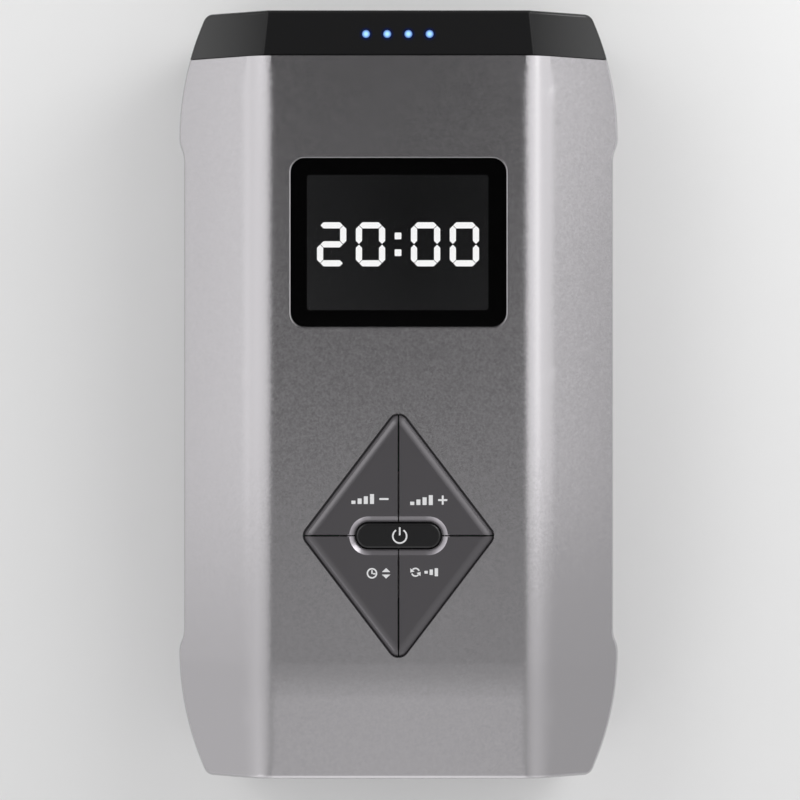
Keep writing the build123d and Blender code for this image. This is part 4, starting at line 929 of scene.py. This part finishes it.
# ---- shared forms
class Stencil:
    """Flat shapes drawn in millimetres, then raised into one thin plate."""

    def __init__(self) -> None:
        """Starts an empty stencil."""
        self.mesh = bmesh.new()

    def corners(self, points: Iterable[Point2], x: float = 0.0, y: float = 0.0) -> list[Corner]:
        """Adds loose corners, given about x and y."""
        return [self.mesh.verts.new(((x + px) * MM, (y + py) * MM, 0.0)) for px, py in points]

    def polygon(self, points: Iterable[Point2], x: float = 0.0, y: float = 0.0) -> None:
        """Adds one closed shape through the points, given about x and y."""
        self.mesh.faces.new(self.corners(points, x, y))

    def bar(self, x: float, y: float, width: float, height: float, corner: float = 0.0) -> None:
        """Adds a bar with rounded corners.

        Args:
            x: Its middle.
            y: Its middle.
            width: Size along X.
            height: Size along Y.
            corner: Corner radius.
        """
        self.polygon(round_box(width, height, corner, SMALL_CORNER_STEPS), x, y)

    def sector(self, x: float, y: float, radii: Span, start: float, end: float) -> None:
        """Adds part of a ring, or a whole one.

        Args:
            x: Its middle.
            y: Its middle.
            radii: Inner and outer radius.
            start: First angle, in degrees.
            end: Last angle, in degrees.
        """
        steps = max(LEAST_ARC_STEPS, round(abs(end - start) / ARC_DEGREES))
        rims = []
        for step in range(steps + 1):
            way = ray(start + (end - start) * step / steps)
            rims.append(self.corners([(way.x * radius, way.y * radius) for radius in radii], x, y))
        for (near_in, near_out), (far_in, far_out) in zip(rims, rims[1:]):
            self.mesh.faces.new((near_in, near_out, far_out, far_in))

    def raised(self, name: str, low: float, high: float, finish: Finish) -> Piece:
        """Raises the stencil into a closed plate.

        Args:
            name: Name of the new piece.
            low: Its underside.
            high: Its top.
            finish: What it is made of.

        Returns:
            The new piece.
        """
        mesh = self.mesh
        bmesh.ops.remove_doubles(mesh, verts=mesh.verts, dist=MERGE_DISTANCE)
        bmesh.ops.translate(mesh, verts=mesh.verts, vec=(0.0, 0.0, low * MM))
        grown = bmesh.ops.extrude_face_region(mesh, geom=mesh.faces[:], use_keep_orig=True)
        tops = [item for item in grown["geom"] if isinstance(item, Corner)]
        bmesh.ops.translate(mesh, verts=tops, vec=(0.0, 0.0, (high - low) * MM))
        return mesh_piece(name, mesh, finish)


def ray(degrees: float) -> Vector:
    """Flat unit vector at an angle from X."""
    angle = math.radians(degrees)
    return Vector((math.cos(angle), math.sin(angle)))


def round_box(width: float, height: float, corner: float, steps: int = CORNER_STEPS) -> list[Point2]:
    """Points round a rectangle with rounded corners, about its middle.

    Args:
        width: Size along X.
        height: Size along Y.
        corner: Corner radius, or 0 for a sharp one.
        steps: Runs in each corner's arc.

    Returns:
        The points, anticlockwise.
    """
    points = []
    for quarter, (side_x, side_y) in enumerate(((1, 1), (-1, 1), (-1, -1), (1, -1))):
        middle = (side_x * (width / 2 - corner), side_y * (height / 2 - corner))
        if corner <= 0:
            points.append(middle)
            continue
        for step in range(steps + 1):
            angle = math.radians(90 * (quarter + step / steps))
            points.append((middle[0] + corner * math.cos(angle), middle[1] + corner * math.sin(angle)))
    return points


def bridge(mesh: Mesh, near: list[Corner], far: list[Corner]) -> None:
    """Joins two closed loops by a band of faces.

    Args:
        mesh: Where the faces go.
        near: Corners of the first loop, or its one tip.
        far: As many corners of the second loop, or its one tip.
    """
    steps = max(len(near), len(far))
    for step in range(steps):
        after = (step + 1) % steps
        spots = ((near, step), (near, after), (far, after), (far, step))
        mesh.faces.new(list(dict.fromkeys(loop[place % len(loop)] for loop, place in spots)))


def lathe(profile: Sequence[Point2], steps: int, placed: Matrix) -> Mesh:
    """Spins a profile in millimetres about Z and moves it into place.

    Args:
        profile: Its points as radius and height, the first and last on the axis.
        steps: Runs round the circle.
        placed: Where the spun shape goes, in metres.

    Returns:
        The spun shape.
    """
    mesh = bmesh.new()
    rings = []
    for radius, height in profile:
        ring = []
        for step in range(steps if radius > 0 else 1):
            angle = 2 * math.pi * step / steps
            local = Vector((radius * math.cos(angle), radius * math.sin(angle), height)) * MM
            ring.append(mesh.verts.new(placed @ local))
        rings.append(ring)
    for low, high in zip(rings, rings[1:]):
        bridge(mesh, low, high)
    return mesh


def stand(name: str, data: bpy.types.ID) -> Piece:
    """Puts a new object into the scene.

    Args:
        name: Its name.
        data: Its mesh, lamp or camera.

    Returns:
        The object.
    """
    item = bpy.data.objects.new(name, data)
    bpy.context.scene.collection.objects.link(item)
    return item


def mesh_piece(name: str, mesh: Mesh, finish: Finish, smooth: bool = False) -> Piece:
    """Turns a bmesh into an object in the scene, with its faces turned outward, and frees it.

    Args:
        name: Name of the new piece.
        mesh: Its shape, in metres.
        finish: What it is made of.
        smooth: Whether its faces are shaded smooth.

    Returns:
        The new piece.
    """
    bmesh.ops.recalc_face_normals(mesh, faces=mesh.faces)
    data = bpy.data.meshes.new(name)
    mesh.to_mesh(data)
    mesh.free()
    data.materials.append(finish.material())
    for polygon in data.polygons:
        polygon.use_smooth = smooth
    return stand(name, data)


def carve(piece: Piece, tool: Piece) -> None:
    """Cuts one piece by another, leaves the result in its mesh and removes the tool.

    Args:
        piece: What is cut.
        tool: What it is cut by.
    """
    cut = piece.modifiers.new("cut", "BOOLEAN")
    cut.operation = "DIFFERENCE"
    cut.object = tool
    bpy.context.view_layer.update()
    evaluated = piece.evaluated_get(bpy.context.evaluated_depsgraph_get())
    result = bpy.data.meshes.new_from_object(evaluated)
    piece.modifiers.clear()
    piece.data = result
    bpy.data.objects.remove(tool)


def keep(piece: Piece, body: Body) -> None:
    """Makes a piece ride on its body.

    Args:
        piece: The added piece.
        body: What it moves with.
    """
    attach(piece, body.value)
    LOG.info("%s rides on %s", piece.name, body.value)


# ---- display
# Lit segments of each digit shown, as steps of half a digit's width and of a quarter of its height
LIT_SEGMENTS: dict[str, tuple[tuple[int, int], ...]] = {
    "0": ((0, 2), (1, 1), (1, -1), (0, -2), (-1, -1), (-1, 1)),
    "2": ((0, 2), (1, 1), (0, 0), (-1, -1), (0, -2)),
}


@dataclass
class Display:
    """Black print behind the lens, the dim display field and its lit digits. Sizes in millimetres."""

    x: float = -0.24
    y: float = 43.2
    window_width: float = 51.4
    window_height: float = 38.3
    window_corner: float = 0.8
    print_inset: float = 0.2
    lens_corner: float = 4.1
    print_low: float = 68.90
    print_high: float = 68.92
    field_width: float = 52.0
    field_height: float = 39.0
    field_low: float = 68.45
    field_high: float = 68.74
    digits_y: float = 42.7
    digits_x: float = -0.14
    digit_width: float = 8.3
    digit_height: float = 12.5
    digit_gap: float = 2.7
    colon_width: float = 1.9
    colon_share: float = 0.19
    colon_corner: float = 0.25
    stroke: float = 1.75
    segment_gap: float = 0.22
    digits_top: float = 68.78
    reading: str = "20:00"

    def build(self) -> None:
        """Builds the print, the field and the digits."""
        self.build_print()
        field = Stencil()
        field.bar(0.0, self.y, self.field_width, self.field_height, self.window_corner)
        film = field.raised("display_field_film", self.field_low, self.field_high, Finishes.backlight)
        keep(film, Body.CASE)
        self.build_digits()

    def build_print(self) -> None:
        """Builds the printed border of the lens as a thin ring with a rounded window."""
        low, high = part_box("display_lens")
        middle = (low + high) / 2 / MM
        size = (high - low) / MM
        outer = round_box(size.x - 2 * self.print_inset, size.y - 2 * self.print_inset, self.lens_corner)
        inner = round_box(self.window_width, self.window_height, self.window_corner)
        ring = Stencil()
        bridge(ring.mesh, ring.corners(outer, middle.x, middle.y), ring.corners(inner, self.x, self.y))
        border = ring.raised("lens_border_print", self.print_low, self.print_high, Finishes.mask)
        keep(border, Body.CASE)

    def segment(self, stencil: Stencil, x: float, y: float, length: float, upright: bool) -> None:
        """Adds one segment with pointed ends.

        Args:
            stencil: Where it is added.
            x: Its middle.
            y: Its middle.
            length: Tip to tip.
            upright: Whether it stands upright.
        """
        tip, side = length / 2, self.stroke / 2
        flat = tip - side
        points = [(-tip, 0.0), (-flat, -side), (flat, -side), (tip, 0.0), (flat, side), (-flat, side)]
        stencil.polygon([(-py, px) for px, py in points] if upright else points, x, y)

    def digit(self, stencil: Stencil, x: float, number: str) -> None:
        """Adds one seven-segment digit.

        Args:
            stencil: Where it is added.
            x: Its middle.
            number: The digit shown.
        """
        across = self.digit_width - self.stroke
        tall = (self.digit_height - self.stroke) / 2
        for column, row in LIT_SEGMENTS[number]:
            upright = column != 0
            length = (tall if upright else across) - self.segment_gap
            self.segment(stencil, x + column * across / 2, self.digits_y + row * tall / 2, length, upright)

    def build_digits(self) -> None:
        """Builds the lit reading."""
        widths = [self.colon_width if mark == ":" else self.digit_width for mark in self.reading]
        total = sum(widths) + self.digit_gap * (len(widths) - 1)
        stencil = Stencil()
        left = self.digits_x - total / 2
        for mark, width in zip(self.reading, widths):
            middle = left + width / 2
            if mark == ":":
                for side in (-1, 1):
                    rise = side * self.digit_height * self.colon_share
                    stencil.bar(middle, self.digits_y + rise, width, width, self.colon_corner)
            else:
                self.digit(stencil, middle, mark)
            left += width + self.digit_gap
        reading = stencil.raised("display_reading", self.field_high, self.digits_top, Finishes.segment)
        keep(reading, Body.CASE)


# ---- keypad
@dataclass(frozen=True)
class KeyMark:
    """Printed pictogram on one key. Sizes in millimetres."""

    name: str
    x: float
    y: float
    body: Body
    top: float = 70.9
    sunk: float = 0.02
    proud: float = 0.015
    height: float = 2.8

    def draw(self, stencil: Stencil) -> None:
        """Draws the mark about its middle."""
        raise NotImplementedError

    def build(self) -> None:
        """Raises the mark a hair above the key's top."""
        stencil = Stencil()
        self.draw(stencil)
        piece = stencil.raised(self.name, self.top - self.sunk, self.top + self.proud, Finishes.white_ink)
        keep(piece, self.body)


@dataclass(frozen=True)
class LevelMark(KeyMark):
    """Rising level bars with a minus or a plus."""

    more: bool = False
    bars: int = 4
    bar_width: float = 1.15
    bar_spacing: float = 1.75
    bar_corner: float = 0.12
    shortest: float = 0.34
    gap: float = 1.5
    sign: float = 2.6
    sign_stroke: float = 0.55
    sign_corner: float = 0.1

    def draw(self, stencil: Stencil) -> None:
        """Draws the bars and the sign.

        Args:
            stencil: What they are drawn on.
        """
        total = self.bar_spacing * (self.bars - 1) + self.bar_width + self.gap + self.sign
        foot = self.y - self.height / 2
        left = self.x - total / 2 + self.bar_width / 2
        for step in range(self.bars):
            tall = self.height * (self.shortest + (1 - self.shortest) * step / (self.bars - 1))
            bar_x = left + step * self.bar_spacing
            stencil.bar(bar_x, foot + tall / 2, self.bar_width, tall, self.bar_corner)
        middle = self.x + total / 2 - self.sign / 2
        stencil.bar(middle, self.y, self.sign, self.sign_stroke, self.sign_corner)
        if self.more:
            arm = (self.sign - self.sign_stroke) / 2
            for side in (-1, 1):
                rise = side * (arm + self.sign_stroke) / 2
                stencil.bar(middle, self.y + rise, self.sign_stroke, arm, self.sign_corner)


@dataclass(frozen=True)
class ClockMark(KeyMark):
    """Clock face with two hands, each as middle and size, and two tick arrows beside it."""

    face_x: float = -1.7
    face_grow: float = 0.1
    ring: float = 0.425
    hands: tuple[Bar, ...] = ((0.0, 0.33, 0.4, 1.06), (0.62, -0.14, 0.74, 0.4))
    hand_corner: float = 0.1
    arrow_x: Point3 = (1.1, 3.5, 2.3)
    arrow_base: float = 0.35

    def draw(self, stencil: Stencil) -> None:
        """Draws the face, the hands and the arrows.

        Args:
            stencil: What they are drawn on.
        """
        radius = self.height / 2 + self.face_grow
        face_x = self.x + self.face_x
        stencil.sector(face_x, self.y, (radius - self.ring, radius), 0.0, 360.0)
        for x, y, width, height in self.hands:
            stencil.bar(face_x + x, self.y + y, width, height, self.hand_corner)
        for side in (-1, 1):
            rises = (side * self.arrow_base, side * self.arrow_base, side * radius)
            stencil.polygon(zip(self.arrow_x, rises), self.x, self.y)


@dataclass(frozen=True)
class CycleMark(KeyMark):
    """Two arrows that chase each other, with three growing dots beside them."""

    loop_x: float = -2.1
    loop_shrink: float = 0.1
    ring: float = 0.425
    starts: Span = (20.0, 200.0)
    sweep: float = 118.0
    head_at: float = 122.0
    head_half: float = 0.72
    head_length: float = 0.98
    dots: int = 3
    dot_x: float = 0.9
    dot_spacing: float = 1.45
    dot_width: float = 0.95
    dot_height: float = 0.8
    dot_grow: float = 0.75
    dot_corner: float = 0.14

    def draw(self, stencil: Stencil) -> None:
        """Draws the arrows and the dots.

        Args:
            stencil: What they are drawn on.
        """
        radius = self.height / 2 - self.loop_shrink
        loop_x = self.x + self.loop_x
        inner = radius - self.ring
        for start in self.starts:
            stencil.sector(loop_x, self.y, (inner, radius), start, start + self.sweep)
            out = ray(start + self.head_at)
            ahead = Vector((-out.y, out.x))
            middle = Vector((loop_x, self.y)) + out * (inner + radius) / 2
            sides = (out * self.head_half, ahead * self.head_length, out * -self.head_half)
            stencil.polygon([(middle + side)[:] for side in sides])
        for step in range(self.dots):
            dot_x = self.x + self.dot_x + step * self.dot_spacing
            tall = self.dot_height + self.dot_grow * step
            stencil.bar(dot_x, self.y, self.dot_width, tall, self.dot_corner)


@dataclass(frozen=True)
class PowerMark(KeyMark):
    """The standard power symbol: a broken ring with a stem."""

    top: float = 70.6
    radius: float = 2.18
    thick: float = 0.45
    start: float = 122.0
    end: float = 418.0
    stem_y: float = 1.35
    stem: float = 2.3
    stem_corner: float = 0.12

    def draw(self, stencil: Stencil) -> None:
        """Draws the ring and the stem."""
        stencil.sector(self.x, self.y, (self.radius - self.thick, self.radius), self.start, self.end)
        stencil.bar(self.x, self.y + self.stem_y, self.thick, self.stem, self.stem_corner)


@dataclass
class Keypad:
    """The printed marks, each on its own key."""

    marks: tuple[KeyMark, ...] = (
        LevelMark("mark_pressure_down", -8.07, -29.4, Body.PRESSURE_DOWN),
        LevelMark("mark_pressure_up", 8.55, -29.7, Body.PRESSURE_UP, more=True),
        ClockMark("mark_time", -5.8, -50.4, Body.TIME),
        CycleMark("mark_mode", 6.9, -50.1, Body.MODE),
        PowerMark("mark_power", 0.34, -39.9, Body.POWER),
    )

    def build(self) -> None:
        """Builds the five marks."""
        for mark in self.marks:
            mark.build()


# ---- fasteners and contacts
@dataclass
class HousingScrews:
    """Pan-head screws with a cross recess that close the case from the back. Sizes in millimetres.

    The head and the thread are given as radius and height, the thread's heights in pitches. The
    recess is given as height and share of its outline.
    """

    columns: tuple[float, ...] = (-45.0, 45.0)
    rows: tuple[float, ...] = (-90.0, 4.0, 84.0)
    steps: int = 36
    head: tuple[Point2, ...] = (
        (0.0, 4.2), (1.5, 4.24), (2.3, 4.48), (2.68, 4.82), (2.8, 5.2), (2.8, 5.85), (2.7, 6.0), (1.5, 6.0),
        (1.5, 7.5),
    )  # fmt: skip
    thread: tuple[Point2, ...] = ((1.15, 0.3), (1.15, 0.6), (1.5, 1.0))
    pitch: float = 1.1
    plain_pitches: float = 3.0
    point: tuple[Point2, ...] = ((1.15, 22.8), (0.0, 24.0))
    recess: tuple[Point2, ...] = ((3.7, 1.12), (5.3, 0.62))
    recess_span: float = 3.1
    recess_width: float = 0.75
    first_turn: float = 17.0
    turn: float = 31.0
    sharp: float = 32.0

    def profile(self) -> list[Point2]:
        """Half section of one screw, from the face of its head to its tip.

        Returns:
            Its points as radius and height.
        """
        points = list(self.head)
        height, tip = points[-1][1], self.point[-1][1]
        while height < tip - self.plain_pitches * self.pitch:
            points += [(radius, height + share * self.pitch) for radius, share in self.thread]
            height += self.pitch
        return points + list(self.point)

    def cutter(self, x: float, y: float, turn: float) -> Mesh:
        """Tapered cross that the driver fits, as one closed shape.

        Args:
            x: Middle of the screw.
            y: Middle of the screw.
            turn: How far the cross is turned, in degrees.

        Returns:
            The cross.
        """
        mesh = bmesh.new()
        half, side = self.recess_span / 2, self.recess_width / 2
        outline = [
            Matrix.Rotation(math.radians(90 * quarter + turn), 2) @ Vector(point)
            for quarter in range(4)
            for point in ((half, -side), (half, side), (side, side))
        ]
        rings = [
            [mesh.verts.new(((x + p.x * share) * MM, (y + p.y * share) * MM, z * MM)) for p in outline]
            for z, share in self.recess
        ]
        bridge(mesh, *rings)
        for ring in rings:
            mesh.faces.new(ring)
        return mesh

    def build(self) -> None:
        """Builds the screws, cuts their recesses and puts them in place of the plain ones."""
        for number, (x, y) in enumerate(product(self.columns, self.rows), 1):
            spun = lathe(self.profile(), self.steps, Matrix.Translation((x * MM, y * MM, 0.0)))
            screw = mesh_piece(f"housing_screw_{number}", spun, Finishes.screw, True)
            cross = self.cutter(x, y, self.first_turn + self.turn * number)
            carve(screw, mesh_piece("driver_cross", cross, Finishes.screw))
            screw.data.set_sharp_from_angle(angle=math.radians(self.sharp))
            keep(screw, Body.CASE)
            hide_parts("housing_screws")


@dataclass
class ChargingContact:
    """Nickel sleeve over the pin of the charging socket. Sizes in millimetres."""

    mouth: Point3 = (59.3, 59.0, 25.0)
    section: tuple[Point2, ...] = (
        (0.0, -7.0), (1.06, -7.0), (1.06, -0.35), (0.93, -0.12), (0.66, 0.0), (0.4, 0.0), (0.34, -0.25),
        (0.0, -0.3),
    )  # fmt: skip
    steps: int = 40
    sharp: float = 35.0

    def build(self) -> None:
        """Builds the sleeve with a rounded tip."""
        placed = Matrix.Translation(Vector(self.mouth) * MM) @ Matrix.Rotation(math.radians(90), 4, "Y")
        spun = lathe(self.section, self.steps, placed)
        sleeve = mesh_piece("charging_contact_sleeve", spun, Finishes.contact, True)
        sleeve.data.set_sharp_from_angle(angle=math.radians(self.sharp))
        keep(sleeve, Body.CASE)


@dataclass
class LensRim:
    """Fine painted bead on the edge of the seat of the lens. Sizes in millimetres."""

    x: float = 0.0
    y: float = 43.2
    seat_width: float = 61.64
    seat_height: float = 48.34
    seat_corner: float = 4.22
    section: tuple[Point2, ...] = ((0.06, 70.035), (-0.20, 69.99), (-0.20, 69.90), (0.06, 69.90))

    def build(self) -> None:
        """Sweeps the bead's section round the seat."""
        mesh = bmesh.new()
        loops = []
        for grow, height in self.section:
            width, depth = self.seat_width + 2 * grow, self.seat_height + 2 * grow
            outline = round_box(width, depth, self.seat_corner + grow)
            spots = [((self.x + x) * MM, (self.y + y) * MM, height * MM) for x, y in outline]
            loops.append([mesh.verts.new(spot) for spot in spots])
        for near, far in zip(loops, loops[1:] + loops[:1]):
            bridge(mesh, near, far)
        keep(mesh_piece("lens_rim_bead", mesh, Finishes.paint), Body.CASE)


# ---- studio
@dataclass(frozen=True)
class Softbox:
    """One rectangular lamp."""

    name: str
    place: Point3
    target: Point3
    width: float
    length: float
    power: float

    def build(self) -> None:
        """Adds the lamp, turned to its target with its length along Y."""
        data = bpy.data.lights.new(self.name, "AREA")
        data.shape = "RECTANGLE"
        data.size = self.width
        data.size_y = self.length
        data.energy = self.power
        lamp = stand(self.name, data)
        lamp.location = self.place
        aim = (Vector(self.place) - Vector(self.target)).normalized()
        side = Vector((0.0, 1.0, 0.0)).cross(aim).normalized()
        lamp.rotation_euler = Matrix((side, aim.cross(side), aim)).transposed().to_euler()
        lamp.visible_camera = False


@dataclass
class Studio:
    """Pale floor, soft surround, strip lamps beside the object and the camera above it.

    The surround's three rows give its level at places from -1 to 1: across, along, and across again
    as a share of the row along.
    """

    floor_size: float = 6.0
    camera: Point3 = (0.00042, -0.0014, 1.070)
    lens: float = 159.0
    sensor: float = 36.0
    nearest: float = 0.01
    across: Stops = (
        (-1.0, 0.70), (-0.95, 0.74), (-0.87, 0.80), (-0.68, 0.87), (-0.44, 0.78), (-0.25, 0.68),
        (-0.182, 0.46), (-0.147, 0.10), (-0.10, 0.02), (0.08, 0.02), (0.122, 0.10), (0.162, 0.44),
        (0.25, 0.66), (0.47, 0.75), (0.67, 0.71), (0.84, 0.63), (0.95, 0.55), (1.0, 0.53),
    )  # fmt: skip
    along: Stops = (
        (-1.0, 1.70), (-0.70, 1.30), (-0.50, 0.95), (-0.32, 0.86), (-0.295, 0.81), (-0.25, 0.67),
        (-0.15, 0.50), (-0.065, 0.445), (-0.02, 0.445), (0.010, 0.14), (0.022, 0.03), (0.24, 0.02),
        (0.36, 0.05), (0.62, 0.35), (1.0, 0.60),
    )  # fmt: skip
    middle: Stops = (
        (-1.0, 0.75), (-0.40, 0.80), (-0.13, 0.50), (-0.04, 0.90), (0.0, 1.0), (0.04, 0.90),
        (0.13, 0.45), (0.40, 0.75), (0.90, 0.60), (1.0, 0.60),
    )  # fmt: skip
    lamps: tuple[Softbox, ...] = (
        Softbox("panel_left", (-0.34, 0.27, 0.42), (0.03, 0.27, 0.084), 0.59, 0.65, 0.38),
        Softbox("panel_right", (0.34, 0.27, 0.42), (-0.03, 0.27, 0.084), 0.59, 0.65, 0.66),
        Softbox("strip_right", (0.384, 0.27, 0.56), (0.04, 0.27, 0.07), 0.12, 0.62, 0.09),
        Softbox("crown_left", (-1.10, 0.85, 2.08), (0.0, -0.03, 0.07), 0.80, 0.60, 2.90),
        Softbox("crown_right", (1.10, 0.85, 2.08), (0.0, -0.03, 0.07), 0.80, 0.60, 1.40),
        Softbox("crown_low", (-1.33, -1.29, 1.78), (0.0, -0.04, 0.07), 0.60, 0.36, 1.60),
        Softbox("glint_right", (0.40, 0.36, 0.28), (0.0, -0.04, 0.07), 0.26, 0.26, 0.60),
        Softbox("card_left", (-0.56, 0.24, 0.20), (0.0, 0.24, 0.06), 0.26, 0.66, 0.085),
        Softbox("card_right", (0.56, 0.34, 0.20), (0.0, 0.34, 0.06), 0.26, 0.52, 0.055),
    )

    def build(self) -> None:
        """Builds the floor, the surround, the lamps and the camera."""
        self.build_floor()
        self.build_world()
        for lamp in self.lamps:
            lamp.build()
        self.build_camera()

    def build_floor(self) -> None:
        """Lays a plain pale floor."""
        mesh = bmesh.new()
        bmesh.ops.create_grid(mesh, x_segments=1, y_segments=1, size=self.floor_size / 2)
        floor = mesh_piece("studio_floor", mesh, Finishes.paper)

    def build_world(self) -> None:
        """Wires a surround of pale side walls with a dark gap overhead, where the camera is."""
        world = bpy.data.worlds.new("surround")
        world.use_nodes = True
        bpy.context.scene.world = world
        wiring = Wiring(world.node_tree)
        x, y, _ = wiring.parts(wiring.add("ShaderNodeTexCoord").outputs["Generated"])
        levels = []
        for axis, stops in ((x, self.across), (y, self.along), (x, self.middle)):
            greys = [((place + 1) / 2, (level, level, level)) for place, level in stops]
            levels.append(wiring.ramp(wiring.spread(axis, 0.0, 1.0, -1.0, 1.0), greys))
        sides, ends, middle = levels
        walls = wiring.blend(1.0, sides, wiring.blend(1.0, ends, middle, "MULTIPLY"), "LIGHTEN")
        background = wiring.add("ShaderNodeBackground", {"Color": walls})
        wiring.add("ShaderNodeOutputWorld", {"Surface": background.outputs[0]})

    def build_camera(self) -> None:
        """Hangs the camera straight above the front face."""
        data = bpy.data.cameras.new("camera")
        data.lens = self.lens
        data.sensor_width = self.sensor
        data.clip_start = self.nearest
        camera = stand("camera", data)
        camera.location = self.camera
        bpy.context.scene.camera = camera
        bpy.context.scene.view_settings.view_transform = "Standard"


def main() -> None:
    """Builds the looks in order."""
    logging.basicConfig(level=logging.INFO, format="%(name)s: %(message)s")
    dress_nodes(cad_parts)
    for part in (Display(), LensRim(), Keypad(), HousingScrews(), ChargingContact(), Studio()):
        part.build()
        LOG.info("%s built", type(part).__name__)


if __name__ == "__main__":
    main()
